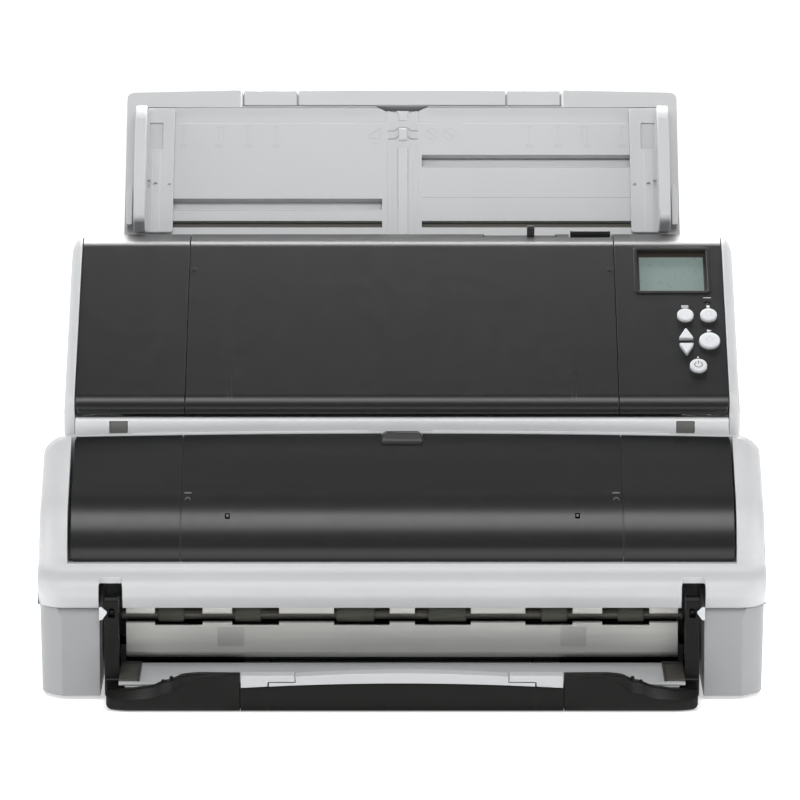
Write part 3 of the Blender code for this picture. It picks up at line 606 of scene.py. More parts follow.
def refine(node, mat, body, slot, width=0.4, segments=2, angle=32.0, name=None):
    """A CAD node's own shape, with the rounded edges of the real moulding."""
    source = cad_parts[node]
    mesh = source.data.copy()
    obj = new_object(name or node + "_skin", mesh)
    bm = bmesh.new()
    bm.from_mesh(mesh)
    bmesh.ops.remove_doubles(bm, verts=bm.verts, dist=2e-6)
    bmesh.ops.dissolve_limit(bm, angle_limit=math.radians(0.6), verts=bm.verts, edges=bm.edges)
    bm.to_mesh(mesh)
    bm.free()
    soften(obj, width, segments, angle, clean=False)
    return done(obj, mat, body, slot, node)


def arc(cx, cy, r, start, end, steps):
    return [(cx + r * math.cos(math.radians(start + (end - start) * i / steps)),
             cy + r * math.sin(math.radians(start + (end - start) * i / steps))) for i in range(steps + 1)]


def rect(x0, x1, y0, y1):
    return [(x0, y0), (x1, y0), (x1, y1), (x0, y1)]


def round_rect(x0, x1, y0, y1, r, steps=6):
    return (arc(x1 - r, y1 - r, r, 0, 90, steps) + arc(x0 + r, y1 - r, r, 90, 180, steps)
            + arc(x0 + r, y0 + r, r, 180, 270, steps) + arc(x1 - r, y0 + r, r, 270, 360, steps))


def curved(points, per=6):
    """A smooth line through the points."""
    out = []
    n = len(points)
    for i in range(n - 1):
        p0, p1, p2, p3 = (points[max(i - 1, 0)], points[i], points[i + 1], points[min(i + 2, n - 1)])
        for k in range(per):
            t = k / per
            out.append(tuple(0.5 * (2 * b + (c - a) * t + (2 * a - 5 * b + 4 * c - d) * t * t
                                    + (3 * b - a - 3 * c + d) * t ** 3)
                             for a, b, c, d in zip(p0, p1, p2, p3)))
    out.append(tuple(points[-1]))
    return out


def normals_of(points):
    out = []
    for i in range(len(points)):
        a, b = points[max(i - 1, 0)], points[min(i + 1, len(points) - 1)]
        ty, tz = b[0] - a[0], b[1] - a[1]
        long = math.hypot(ty, tz) or 1.0
        out.append((-tz / long, ty / long))
    return out


def grown(points, d):
    return [(p[0] + n[0] * d, p[1] + n[1] * d) for p, n in zip(points, normals_of(points))]


def smooth_step(t):
    t = min(1.0, max(0.0, t))
    return t * t * (3 - 2 * t)


def screw(name, at, way, r=3.0, mat=None, body="base", slot_name="steel"):
    """A pan-head screw with a cross recess, seen along the direction way."""
    x, y, z = at
    end = (x + way[0] * 2, y + way[1] * 2, z + way[2] * 2)
    head = lathe(name, at, end, [(-0.6, r * 0.98), (0.0, r), (0.7, r * 0.97), (1.15, r * 0.82), (1.4, r * 0.5), (1.45, 0.0)], 32)
    if abs(way[1]) > 0.5:
        reach = sorted((y + way[1] * 0.5, y + way[1] * 3))
        cut(head, block("cross_a", (x - r * 0.55, x + r * 0.55), reach, (z - 0.4, z + 0.4)),
            block("cross_b", (x - 0.4, x + 0.4), reach, (z - r * 0.55, z + r * 0.55)))
    head.data.shade_smooth()
    head.data.set_sharp_from_angle(angle=math.radians(35))
    return done(head, mat or STEEL, body, slot_name)


# ================================================================== imprinter shell
COVER_ARC = [(10.0, 78.8), (9.6, 81.5), (10.2, 86.0), (13.0, 93.5), (18.2, 101.5), (24.8, 107.7)]
COVER_TOP = [(38.5, 117.0), (52.5, 126.1), (67.4, 135.0)]
cover_line = curved(COVER_ARC + [(31.6, 112.4)] + COVER_TOP, 6)
fascia = curved([(-0.4, 52.3), (-1.5, 54.2), (-3.7, 58.8), (-4.0, 61.8), (-3.3, 64.6), (-1.5, 67.4), (1.4, 69.7),
                 (4.3, 71.5), (6.3, 74.0), (7.0, 77.2)], 4)
rim_line = [(y, min(z, 136.0 + (y - 66) * 0.05)) for y, z in grown(cover_line, 2.1) if z > 79.5]
shell_line = [(76.0, 52.3), (40.0, 52.3), (8.0, 52.3)] + fascia + rim_line + [(70.6, 136.3), (73.6, 136.4), (75.4, 135.8),
                                                                             (76.0, 134.6), (76.0, 126.0), (76.0, 90.0)]
DEEP, WIDE, HALF = 13.0, 14.5, 200.7


def inset_target(p, n):
    y, z = p
    if y > 75.9 or (z < 52.4 and y > 7):
        return (y, min(z, 124.6)) if y > 75.9 else (y, z)
    if z < 79:
        return (y + DEEP + 3.0 * smooth_step((62 - z) / 8), z)
    keep = 1 - smooth_step((y - 34) / 40)
    ny = y + DEEP * 0.545 * keep if y > 30 else y - n[0] * DEEP
    line = 103.9 + (ny - 43.5) * 0.634      # the slope's own line, moved in by DEEP
    nz = z - n[1] * DEEP if y <= 30 else min(z, line)
    if 22 < y < 42:                          # eases from one rule to the other
        w = smooth_step((y - 22) / 20)
        ay, az = y - n[0] * DEEP, z - n[1] * DEEP
        by = y + DEEP * 0.545 * keep
        bz = min(z, 103.9 + (by - 43.5) * 0.634)
        return (ay * (1 - w) + by * w, az * (1 - w) + bz * w)
    return (ny, nz)


targets = [inset_target(p, n) for p, n in zip(shell_line, normals_of(shell_line))]
sections = []
STEPS = 9
for k in range(STEPS + 1):
    t = math.pi / 2 * (1 - k / STEPS)
    x = -(HALF - WIDE + WIDE * math.sin(t))
    w = 1 - math.cos(t)
    sections.append([(x, p[0] + (q[0] - p[0]) * w, p[1] + (q[1] - p[1]) * w) for p, q in zip(shell_line, targets)])
sections += [[(-x, y, z) for x, y, z in ring] for ring in reversed(sections)]
upper = loft("imprinter_upper_skin", sections)
for v in upper.data.vertices:
    z = v.co.z / MM
    w = max(0.0, (abs(v.co.x) / MM - 186) / 15)
    bulge = 0.6 * math.exp(-((z - 69.0) / 9.0) ** 2) - 0.5 * smooth_step((60 - z) / 9)
    v.co.x += math.copysign(bulge * w * MM, v.co.x)
INNER = COVER_HALF + 1.0
inside = [(1.4, 50), (1.4, 60), (3.6, 64.4), (8.0, 68.2), (14.2, 71.9), (13.2, 75.6), (-20, 75.6), (-20, 160),
          (69.9, 160), (69.9, 50)]
flank = [(15, 50), (15, 60), (18, 68), (24, 76), (24, 84), (33, 100), (62, 118), (72, 118), (72, 50)]
slice_x(upper, range(-165, 166, 30))
bow(upper, 1.9, 106.0, 132.0)
flat_faces(upper)
notches = [outline("c5", "front", [(-167, 45), (-153.7, 45), (-153.7, 64.6)] + arc(-155.1, 64.6, 1.4, 0, 90, 4)
                   + arc(-165.6, 64.6, 1.4, 90, 180, 4), -6, 12),
           outline("c6", "front", [(153.7, 45), (167, 45), (167, 64.6)] + arc(165.6, 64.6, 1.4, 0, 90, 4)
                   + arc(155.1, 64.6, 1.4, 90, 180, 4), -6, 12)]
for side in (-1, 1):
    c = side * 160.35
    notches.append(outline("scoop", "front", round_rect(c - 6.4, c + 6.4, 58.0, 70.3, 3.0), -0.9, 9.0))
crisp = spans_of(notches)
cut(upper, *notches)
flat_faces(upper)
cut(upper, outline("c1", "side", inside, -INNER, INNER),
    outline("c2", "side", flank, -197.5, -187),
    outline("c3", "side", flank, 187, 197.5),
    block("c4", (-156, 156), (66, 80), (112, 124)))
soften(upper, 0.45, 2, 30, crisp=crisp)
done(upper, WHITE, "base", "white_shell", "imprinter_upper_shell")

# raised strips on the shelf behind the dark cover
strips = [block("strip", (x0, x1), (70.2, 74.4), (135.4, 137.0)) for x0, x1 in ((-150, -17.2), (17.2, 150))]
ledge = merge("imprinter_ledge_strips", strips)
slice_x(ledge, range(-135, 136, 15))
bow(ledge, 1.9, 106.0, 132.0)
soften(ledge, 0.5, 3)
done(ledge, WHITE, "base", "white_shell")

# triangular alignment marks beside the arm notches
marks = []
for side in (-1, 1):
    tri = [(side * 166.6, 53.4), (side * 165.2, 53.6), (side * 162.3, 50.9), (side * 162.4, 50.0), (side * 165.0, 46.3),
           (side * 166.6, 46.2)]
    marks.append(outline("mark", "front", tri if side < 0 else tri[::-1], 2.6, 4.2))
marks = merge("arm_alignment_marks", marks)
soften(marks, 0.3, 2)
done(marks, KEY, "base", "white_shell")

# ------------------------------------------------------------------ cheeks
for side, node in ((-1, "imprinter_left_cheek"), (1, "imprinter_right_cheek")):
    plan = [(166.4, 0.2), (187.5, 0.0), (190.6, 1.55), (193.4, 3.3), (195.9, 5.4), (197.9, 7.9), (199.3, 10.8), (200.1, 14.2),
            (200.2, 17.0), (200.2, 75.8), (166.4, 75.8)]
    loop = [(side * x, y) for x, y in plan]
    cheek = outline(node + "_skin", "plan", loop, 2.0, 52.0)
    for v in cheek.data.vertices:
        if v.co.z < 0.03 and abs(v.co.x) > 0.19:
            v.co.x -= math.copysign(0.0010, v.co.x)
    low = [(side * x, y) for x, y in rect(169.5, 197.0, 34, 72.8)]
    cut(cheek, outline("c", "plan", low, -1.0, 49.0),
        outline("c", "side", [(-3, 46.6), (-0.02, 46.6), (1.7, 52.1), (1.7, 54), (-3, 54)], *sorted((side * 160, side * 189.0))))
    tidy(cheek)
    soften(cheek, 0.6, 3, 24)
    # cheeks take the darker white copy, which is painted shade
    done(cheek, CHEEK_PAINTED_SHADE, "base", "white_shell", node)

bed = refine("imprinter_bed", WHITE_PAINTED_SHADE, "base", "white_shell", 0.8, 3)
refine("imprinter_floor", BLACK, "base", "dark_panel", 0.3)

# ------------------------------------------------------------------ imprinter cover
cover_profile = [(12.6, 75.9), (11.0, 76.0), (10.2, 77.2)] + cover_line + [(69.2, 135.5), (69.6, 134.2), (69.6, 131.0), (16.6, 75.9)]
cover = outline("imprinter_cover_skin", "side", cover_profile, -182.7, COVER_HALF)
common(cover, outline("c", "front", round_rect(-182.7, COVER_HALF, 75.5, 136.6, 3.8, 8), -80, 10))
inner = grown([(12.3, 77.0)] + COVER_ARC + COVER_TOP, -2.6)
inner = [(14.9, 70.0)] + inner[1:-1] + [(67.0, 131.6), (67.0, 125.0), (75.0, 125.0), (75.0, 70.0)]
cut(cover, outline("c", "side", inner, -COVER_HALF + 3.2, COVER_HALF - 2.6),
    outline("c", "front", [(-11.9, 120), (11.9, 120), (11.9, 132.6)] + arc(8.5, 133.2, 3.4, 0, 90, 6)
            + arc(-8.5, 133.2, 3.4, 90, 180, 6) + [(-11.9, 132.6)], -75, -61.2))


# seams, square windows and the arrow below the latch follow the cover's skin
def skin_band(line, depth, out=1.0):
    """Closed band that reaches depth into the surface described by line."""
    return grown(line, out) + list(reversed(grown(line, -depth)))


slabs = []
for x0, x1 in ((-190, -122.31), (-121.89, 121.89), (122.31, 190)):
    slab = new_object("cover_slab", cover.data.copy())
    common(slab, block("c", (x0, x1), (-20, 90), (60, 150)))
    fine = []
    if x0 > -150 and x1 < 150:
        fine = [outline("c", "front", rect(x - 1.35, x + 1.35, z - 1.35, z + 1.35), -40, 5) for x, z in ((-96.3, 100.1), (96.8, 100.3))]
    soften(slab, 0.3, 2, 30, late=fine)
    slabs.append(slab)
for x in (-122.1, 122.1):
    slabs.append(outline("cover_backing", "side", grown(cover_line, -0.6) + list(reversed(grown(cover_line, -1.9))), x - 3.0, x + 3.0))
bpy.data.objects.remove(cover)
cover = merge("imprinter_cover_skin", slabs)
slice_x(cover, range(-165, 166, 30))
bow(cover, 1.6, 104.0, 134.0)
even_normals(cover, 46)
done(cover, DARK, "imprinter_cover", "dark_panel", "imprinter_cover")
pins = [outline("pin", "front", rect(x - 0.62, x + 0.62, z - 0.62, z + 0.62), -22.0, -17.6) for x, z in ((-96.3, 100.1), (96.8, 100.3))]
pins = merge("cover_window_pins", pins)
soften(pins, 0.15)
done(pins, GREY_PRINT, "imprinter_cover", "dark_panel")


def on_skin(shapes, name, mat, z0, z1):
    """Shapes drawn from the front and laid on the cover's skin as a thin print."""
    band_line = [p for p in cover_line if z0 < p[1] < z1]
    made = []
    for shape in shapes:
        item = outline("print", "front", shape, -80, 0)
        xs = [p[0] for p in shape]
        common(item, outline("band", "side", skin_band(band_line, 0.2, 0.05), min(xs) - 1, max(xs) + 1))
        made.append(item)
    return done(merge(name, made), mat, "imprinter_cover", "dark_panel")


MARK_GREY = material("mark_grey", (0.105, 0.105, 0.105), 0.5, grain=2600.0, bump=0.00001)
DARK_MARK = material("mark_dark", (0.006, 0.006, 0.006), 0.5, grain=2600.0, bump=0.00001)
shapes = []
for x in (-118.4, 118.4):
    # a bar above a small open ring, printed beside each seam
    shapes.append([(x - 2.0, 110.3), (x + 2.0, 110.3), (x + 2.0, 110.9), (x - 2.0, 110.9)])
    shapes.append(arc(x, 107.2, 1.7, 10, 170, 10) + arc(x, 107.2, 1.2, 170, 10, 10))
on_skin(shapes, "cover_lock_marks", MARK_GREY, 98, 116)
on_skin([[(-1.9, 130.2), (0.7, 127.9), (3.3, 130.2), (2.6, 130.3), (0.7, 128.7), (-1.2, 130.3)][::-1]], "cover_latch_arrow", DARK_MARK, 120, 135)

latch = outline("cover_latch_skin", "side",
                [(61.9, 126.4), (61.5, 131.6), (62.3, 133.4), (65.4, 136.6), (67.0, 137.0), (69.4, 137.0), (69.4, 124.2), (65.0, 124.2)],
                -11.4, 11.4)
common(latch, outline("c", "front", [(-11.3, 120), (11.3, 120), (11.3, 132.8)] + arc(8.0, 133.6, 3.3, 0, 90, 7)
                      + arc(-8.0, 133.6, 3.3, 90, 180, 7) + [(-11.3, 132.8)], -75, -58))
soften(latch, 0.5, 3)
done(latch, BLACK, "cover_latch", "black_plastic", "cover_latch")

# ------------------------------------------------------------------ paper exit
POCKETS = ((-137.2, -110.8), (-94.3, -68.3), (-37.7, -6.9), (7.2, 38.2), (68.5, 94.7), (111.2, 137.3))
ROLLERS = ((-135.6, -121.1), (-93.0, -78.4), (-36.5, -15.3), (14.7, 35.7), (77.4, 92.0), (119.9, 134.5))
high = outline("exit_upper_guide_skin", "side",
               [(28.0, 42.4), (28.5, 41.8), (30.0, 41.7), (30.0, 78.0), (28.0, 78.0)], -153.3, 153.3)
low = outline("exit_lower_guide_skin", "side",
              [(28.0, 36.9), (28.0, 20.8), (28.3, 19.4), (29.1, 18.0), (30.4, 16.9), (32.0, 16.2), (34.0, 16.2), (34.0, 17.6),
               (32.4, 17.7), (31.0, 18.6), (30.0, 20.8), (30.0, 37.4), (28.5, 37.4)], -153.3, 153.3)
for x0, x1 in POCKETS:
    cut(high, block("c", (x0, x1), (24, 33), (39, 46.4)))
    cut(low, block("c", (x0, x1), (24, 33), (35.6, 40)))
soften(high, 0.25, 2)
soften(low, 0.25, 2)
done(high, PLATE, "base", "guide_grey", "exit_upper_guide")
done(low, PLATE, "base", "guide_grey", "exit_lower_guide")
# rounded side bands and film patches of the lower guide
films = []
for x0, x1 in ((-102.4, -87.7), (88.2, 102.4)):
    films.append(block("film", (x0, x1), (27.88, 28.2), (23.4, 34.4)))
films = merge("exit_guide_films", films)
soften(films, 0.08, 1)
FILM = material("clear_film", (0.700, 0.694, 0.664), 0.34, metal=0.30, grain=900.0, bump=0.000006)
done(films, FILM, "base", "guide_grey")
# black backing block behind the roller pockets, painted shade of the exit's dark interior, and black corner brackets at
# the ends of the exit
back = merge("exit_painted_shade_backing", [block("b", (-153, 153), (46.0, 47.4), (18.0, 78.0))])
soften(back, 0.3)
done(back, SOOT, "base", "black_plastic")
corners = []
for side in (-1, 1):
    ell = [(side * 156.2, 25.6), (side * 153.4, 25.6), (side * 153.4, 15.2), (side * 156.2, 15.2)]
    corners.append(outline("corner", "front", ell, -25.2, -23.9))
corners = merge("exit_corner_brackets", corners)
soften(corners, 0.2, 2)
done(corners, SOOT, "base", "black_plastic")

axis = (35.4, 40.2)
shaft = [(0, 0.0), (0, 2.5), (0.5, 3.0), (311.5, 3.0), (312, 2.5), (312, 0.0)]
exit_shaft = lathe("exit_roller_shaft_skin", (-156, *axis), (156, *axis), shaft, 40)
rolls = []
for x0, x1 in ROLLERS:
    w = x1 - x0
    rolls.append(lathe("roll", (x0, *axis), (x1, *axis),
                       [(0.0, 2.8), (0.0, 3.9), (0.35, 4.35), (0.8, 4.5), (w - 0.8, 4.5), (w - 0.35, 4.35),
                        (w, 3.9), (w, 2.8)], 56))
done(exit_shaft, SHAFT, "exit_roller", "steel", "exit_roller_shaft")
done(merge("exit_roller_tyres", rolls), RUBBER, "exit_roller", "roller_rubber")
for name in ("exit_roller_tyres",):
    o = bpy.data.objects[name]
    o.data.shade_smooth()
    o.data.set_sharp_from_angle(angle=math.radians(38))
refine("imprinter_platen", PLATE, "base", "guide_grey", 0.3)
rail = lathe("carriage_rail_skin", (-180, 49, 113.6), (180, 49, 113.6), [(0, 0), (0, 2.1), (0.4, 2.5), (359.6, 2.5), (360, 2.1), (360, 0)], 40)
done(rail, STEEL, "base", "steel", "carriage_rail")
refine("print_carriage", BLACK, "print_carriage", "black_plastic", 0.5)
refine("print_cartridge", DARK, "print_carriage", "black_plastic", 0.5)

# ------------------------------------------------------------------ feet
for side, where in ((-1, "left"), (1, "right")):
    for y, end, h in ((19, "front", 1.7), (268, "rear", 2.1)):
        foot = lathe(f"foot_{end}_{where}_pad", (side * 181, y, 0), (side * 181, y, h),
                     [(0, 0), (0, 2.2), (0.35, 2.4), (0.35, 4.0), (0, 4.2), (0, 6.5), (0.25, 6.9), (h, 7.0), (h, 0)], 40)
        done(foot, FOOT, "base", "foot_rubber", f"foot_{end}_{where}")

# ================================================================== stacker
def lerp(table, x):
    x = abs(x)
    for (x0, v0), (x1, v1) in zip(table, table[1:]):
        if x <= x1:
            t = (x - x0) / (x1 - x0)
            t = smooth_step(t)
            return v0 + (v1 - v0) * t
    return table[-1][1]


TOP = [(88.8, 20.6), (112.0, 20.8), (119.0, 20.2), (128.0, 16.8), (139.0, 13.2), (152.0, 11.6), (162.7, 10.8)]
CREASE = [(88.8, 20.0), (112.0, 19.6), (117.0, 17.6), (128.0, 11.0), (140.0, 7.8), (162.7, 7.2)]
LEAN = [(88.8, 0.6), (112.0, 0.9), (122.0, 3.4), (140.0, 4.6), (162.7, 4.8)]


def rim_section(x):
    top, crease, lean = lerp(TOP, x), lerp(CREASE, x), lerp(LEAN, x)
    far = abs(x) / 162.7
    pull = 1.2 * smooth_step((abs(x) - 156) / 6.7)
    front = -27.9 + 2.2 * smooth_step((abs(x) - 150) / 12.7) * 1.2
    hollow = 1.4 * smooth_step((104 - abs(x)) / 12)
    return [(x, -18.4, 0.4), (x, front + 3.0, 0.3), (x, front + 0.9, 1.2), (x, front + hollow + 0.1, 4.0),
            (x, front + hollow, (4.4 + crease) / 2), (x, front + hollow * 0.3, crease - 0.4),
            (x, front + 0.25, crease), (x, front + lean - 0.5, top - 0.45), (x, front + lean + 0.2, top),
            (x, -18.4, top)]


for side in (-1, 1):
    xs = [88.8, 92, 96, 100, 104, 108, 112, 115, 118, 121, 124, 127, 130, 133, 136, 140, 144, 148, 152, 156, 159, 161.4, 162.4]
    ring = [rim_section(side * x) for x in xs]
    if side < 0:
        ring = ring[::-1]
    half = loft(f"half_{side}", ring)
    if side < 0:
        rim = half
    else:
        rim = merge("stacker_rim", [rim, half])
rim_body = outline("tray_floor", "plan", [(-162.4, -20.5), (162.4, -20.5), (162.4, 75.0), (-162.4, 75.0)], 0.9, 10.6)
join(rim_body, rim)
front_plan = [(-163.2, 80), (-163.2, -20.0), (-161.8, -24.2), (-158.0, -26.6), (-150, -28.0), (150, -28.0), (158.0, -26.6),
              (161.8, -24.2), (163.2, -20.0), (163.2, 80)]
common(rim_body, outline("c", "plan", front_plan, -1, 60))
sweep = [(163.6 - 7.2 + 7.2 * math.cos(math.radians(t)), 6.6 - 6.3 * math.sin(math.radians(t))) for t in range(0, 91, 10)]
common(rim_body, outline("c", "front", [(-x, z) for x, z in sweep] + sweep[::-1] + [(163.6, 80), (-163.6, 80)], -90, 60))
arms = []
for side in (-1, 1):
    lo, hi = sorted((side * 155.9, side * 163.9))
    arm = outline("arm", "side", [(-2.6, 3.6), (-3.0, 8.0), (-3.0, 30.0), (-1.6, 33.0), (-1.4, 56.6), (0.2, 58.4), (5.0, 58.4), (5.0, 3.6)], lo, hi)
    c = side * 159.9
    soften(arm, 0.45, 3, 34, late=[outline("c", "front", round_rect(c - 1.9, c + 1.9, 46.8, 52.4, 0.8), -3.0, 6.0)])
    arms.append(arm)
    lo, hi = sorted((side * 156.2, side * 163.7))
    foot = outline("arm", "side", [(-5.4, 3.6), (-5.4, 12.6), (-4.6, 13.6), (0, 13.6), (0, 3.6)], lo, hi)
    soften(foot, 0.45, 3)
    arms.append(foot)
cut(rim_body, block("c", (-88.6, 88.6), (-30, 72.0), (3.0, 30)))
soften(rim_body, 0.45, 3, 34)
rim_body = merge("stacker_frame_skin", [rim_body] + arms)
done(rim_body, STACK, "stacker", "black_plastic", "stacker_frame")
nubs = []
for side in (-1, 1):
    for x, z in ((126.4, 18.2), (131.0, 16.3)):
        nubs.append(lathe("nub", (side * x, -21.5, z - 1.0), (side * x, -21.5, z + 1.1),
                          [(0, 0), (0, 1.1), (1.4, 1.05), (1.9, 0.7), (2.1, 0.0)], 20))
done(merge("stacker_rim_nubs", nubs), STACK, "stacker", "black_plastic")
bolts = []
for side in (-1, 1):
    c = side * 159.9
    bolts.append(lathe("bolt", (c, 3.0, 49.8), (c, 0, 49.8), [(-0.5, 1.2), (1.6, 1.2), (1.9, 0.8), (2.0, 0.0)], 24))
done(merge("arm_pivot_caps", bolts), BLACK, "stacker", "black_plastic")

plate = outline("stacker_plate_skin", "side", [(-17.3, 12.6), (-17.3, 13.9), (-16.9, 14.1), (0, 14.1), (24.2, 15.0), (24.2, 13.2), (0, 12.6)], -155.6, 155.6)
soften(plate, 0.3, 2)
# the stacker plate takes the darker white copy, which is painted shade
done(plate, WHITE_PAINTED_SHADE, "stacker", "white_shell", "stacker_plate")
edge = outline("stacker_plate_apron", "plan", [rect(-152.3, 152.3, -17.2, 24.2), rect(-146, 146, -12, 20)], 11.5, 12.5)
soften(edge, 0.2, 1)
done(edge, WHITE, "stacker", "white_shell")
tabs = []
for side in (-1, 1):
    lo, hi = sorted((side * 93.6, side * 101.0))
    tabs.append(outline("tab", "front", [(lo, 13.9), (hi, 13.9), (hi - 1.0, 17.0), (hi - 1.8, 17.4), (lo + 1.8, 17.4), (lo + 1.0, 17.0)],
                        6.0, 12.0))
tabs = merge("stacker_plate_tabs", tabs)
soften(tabs, 0.3, 2)
done(tabs, KEY, "stacker", "white_shell")
inserts, frames_l = [], []
for side in (-1, 1):
    lo, hi = sorted((side * 144.9, side * 155.8))
    inserts.append(outline("insert", "side", [(-13.6, 12.8), (-13.6, 14.7), (-13.0, 15.1), (20.8, 15.5), (20.8, 12.8)], lo, hi))
    inner_x, outer_x = side * 144.2, side * 155.8
    ell = [(inner_x, -13.9), (side * 145.6, -13.9), (side * 145.6, 20.4), (outer_x, 20.4), (outer_x, 23.8), (inner_x, 23.8)]
    frames_l.append(outline("l", "plan", ell, 12.8, 16.1))
frames_l = merge("stacker_corner_frames", frames_l)
soften(frames_l, 0.25, 2)
done(frames_l, BLACK, "stacker", "black_plastic")
inserts = merge("stacker_corner_inserts", inserts)
INSERT = material("insert_grey", (0.052, 0.050, 0.044), 0.5, wear=0.3, bump=0.000014)
soften(inserts, 0.3, 2)
done(inserts, INSERT, "stacker", "black_plastic")


def arch(x):
    return 1.9 * (1 - (abs(x) / 88.2) ** 2)


def bar_outline(xs, low, high):
    return [(x, low(x)) for x in xs] + [(x, high(x)) for x in reversed(xs)]


def span(a, b, n=16):
    return [a + (b - a) * i / n for i in range(n + 1)]


low_line = lambda x: 13.7 + 2.6 * (1 - (min(abs(x), 88) / 88.0) ** 2)
dark_top = lambda xs: [(x, low_line(x)) for x in xs]
# outer drawer: white grip above, black apron below
floor1 = block("ext1", (-88.2, 88.2), (-19.2, 71.6), (3.6, 10.9))
grip1 = outline("f", "front", [(-88.2, low_line(88.2) + 0.12)] + [(x, low_line(x) + 0.12) for x in span(-88.0, -73.7, 4)] + [(-73.6, 17.2), (-58.6, 17.2), (-58.9, 20.8),
                (-87.4, 20.8), (-88.2, 20.4)], 18.4, 27.2)
grip1b = outline("f", "front", [(88.2, 20.4), (87.4, 20.8), (58.9, 20.8), (58.6, 17.2), (73.6, 17.2)] + [(x, low_line(x) + 0.12) for x in span(73.7, 88.0, 4)]
                 + [(88.2, low_line(88.2) + 0.12)], 18.4, 27.2)
posts = merge("p", [block("p", (-88.0, -73.8), (-19.4, -18.2), (5, 16)), block("p", (73.8, 88.0), (-19.4, -18.2), (5, 16))])
cut(floor1, block("c", (-73.3, 73.3), (-17.6, 69.0), (5.4, 16)))
for item in (grip1, grip1b, posts, floor1):
    soften(item, 0.35, 3)
floor1 = merge("stacker_extension_1_skin", [floor1, grip1, grip1b, posts])
done(floor1, WHITE, "stacker_extension_1", "white_shell", "stacker_extension_1")


def apron(name, xs):
    """A black front strip with the same section as the tray's own rim."""
    rings = []
    for x in xs:
        top = low_line(x)
        rings.append([(x, -19.3, 0.4), (x, -24.9, 0.3), (x, -27.0, 1.2), (x, -26.4, 4.0), (x, -26.5, (4.4 + top) / 2),
                      (x, -26.6, top - 0.5), (x, -26.2, top), (x, -19.3, top)])
    obj = loft(name, rings)
    return even_normals(obj, 50)


apron1 = merge("stacker_apron_1", [apron("a", span(-88.5, -73.3, 6)), apron("a", span(73.3, 88.5, 6))])
done(apron1, STACK, "stacker_extension_1", "black_plastic")
# inner drawer
floor2 = block("ext2", (-72.9, 72.9), (-19.2, 68.6), (5.8, 10.7))
grip2 = outline("f", "front", [(x, low_line(x) + 0.12) for x in span(-72.9, 72.9, 30)] + [(72.9, 16.7), (58.2, 16.7), (58.2, 20.2)]
                + [(x, 20.3 + 1.9 * (1 - (x / 58.2) ** 2)) for x in span(57.4, -57.4, 24)] + [(-58.2, 20.2), (-58.2, 16.7), (-72.9, 16.7)], 18.4, 27.4)
soften(grip2, 0.35, 3)
soften(floor2, 0.35, 3)
web = soften(block("p", (-57, 57), (-19.4, -18.3), (6, 18.5)), 0.2, 2)
floor2 = merge("stacker_extension_2_skin", [floor2, grip2, web])
done(floor2, WHITE, "stacker_extension_2", "white_shell", "stacker_extension_2")
apron2 = apron("stacker_apron_2", span(-73.2, 73.2, 30))
done(apron2, STACK, "stacker_extension_2", "black_plastic")

# ================================================================== scanner body
def side_skin(name, node, side):
    line = ([(81.6, 66.0), (81.6, 100.0), (81.6, 140.0)] + curved([(81.4, 144.5), (80.9, 149.0), (81.2, 152.6), (83.0, 156.3)], 3)
            + [(100, 167.3), (120, 180.4), (140, 193.5), (160, 206.5), (176, 217.0)]
            + curved([(184.0, 221.4), (190.5, 223.2), (198, 223.0), (208, 221.0), (220, 218.2), (232, 215.0), (242, 212.0), (254, 206.8),
                      (268, 198.6), (281, 189.4), (286.4, 185.2), (288.7, 181.2), (289.0, 176.0)], 3)
            + [(289.0, 120.0), (289.0, 66.0)])
    inner_x, outer_x = PANEL_HALF + 0.35, BODY_HALF
    wide = 6.2
    targets = []
    for (y, z), n in zip(line, normals_of(line)):
        deep = 11.0
        if y < 83.1 and z < 156.0:
            deep = 4.0
            targets.append((y + deep, z - 9 * smooth_step((z - 140) / 16)))
        elif y > 270 and z < 185:
            targets.append((y - 5.0, z))
        else:
            w = smooth_step((y - 240) / 40)
            deep = 11.0 * (1 - w) + 5.0 * w
            targets.append((y - n[0] * deep, max(66.0, z - n[1] * deep)))
    rings = [[(side * inner_x, y, z) for y, z in line]]
    for k in range(9):
        t = math.pi / 2 * k / 8
        x = outer_x - wide + wide * math.sin(t)
        w = 1 - math.cos(t)
        rings.append([(side * x, p[0] + (q[0] - p[0]) * w, p[1] + (q[1] - p[1]) * w) for p, q in zip(line, targets)])
    obj = loft(name, rings if side > 0 else rings[::-1])
    obj.data.shade_smooth()
    obj.data.set_sharp_from_angle(angle=math.radians(34))
    bm = bmesh.new()
    bm.from_mesh(obj.data)
    bmesh.ops.remove_doubles(bm, verts=bm.verts, dist=0.02 * MM)
    bm.to_mesh(obj.data)
    bm.free()
    soften(obj, 0.35, 2, 40, clean=False)
    return done(obj, WHITE, "base", "white_shell", node)


side_skin("side_skin_left", "side_shell_left", -1)
side_skin("side_skin_right", "side_shell_right", 1)

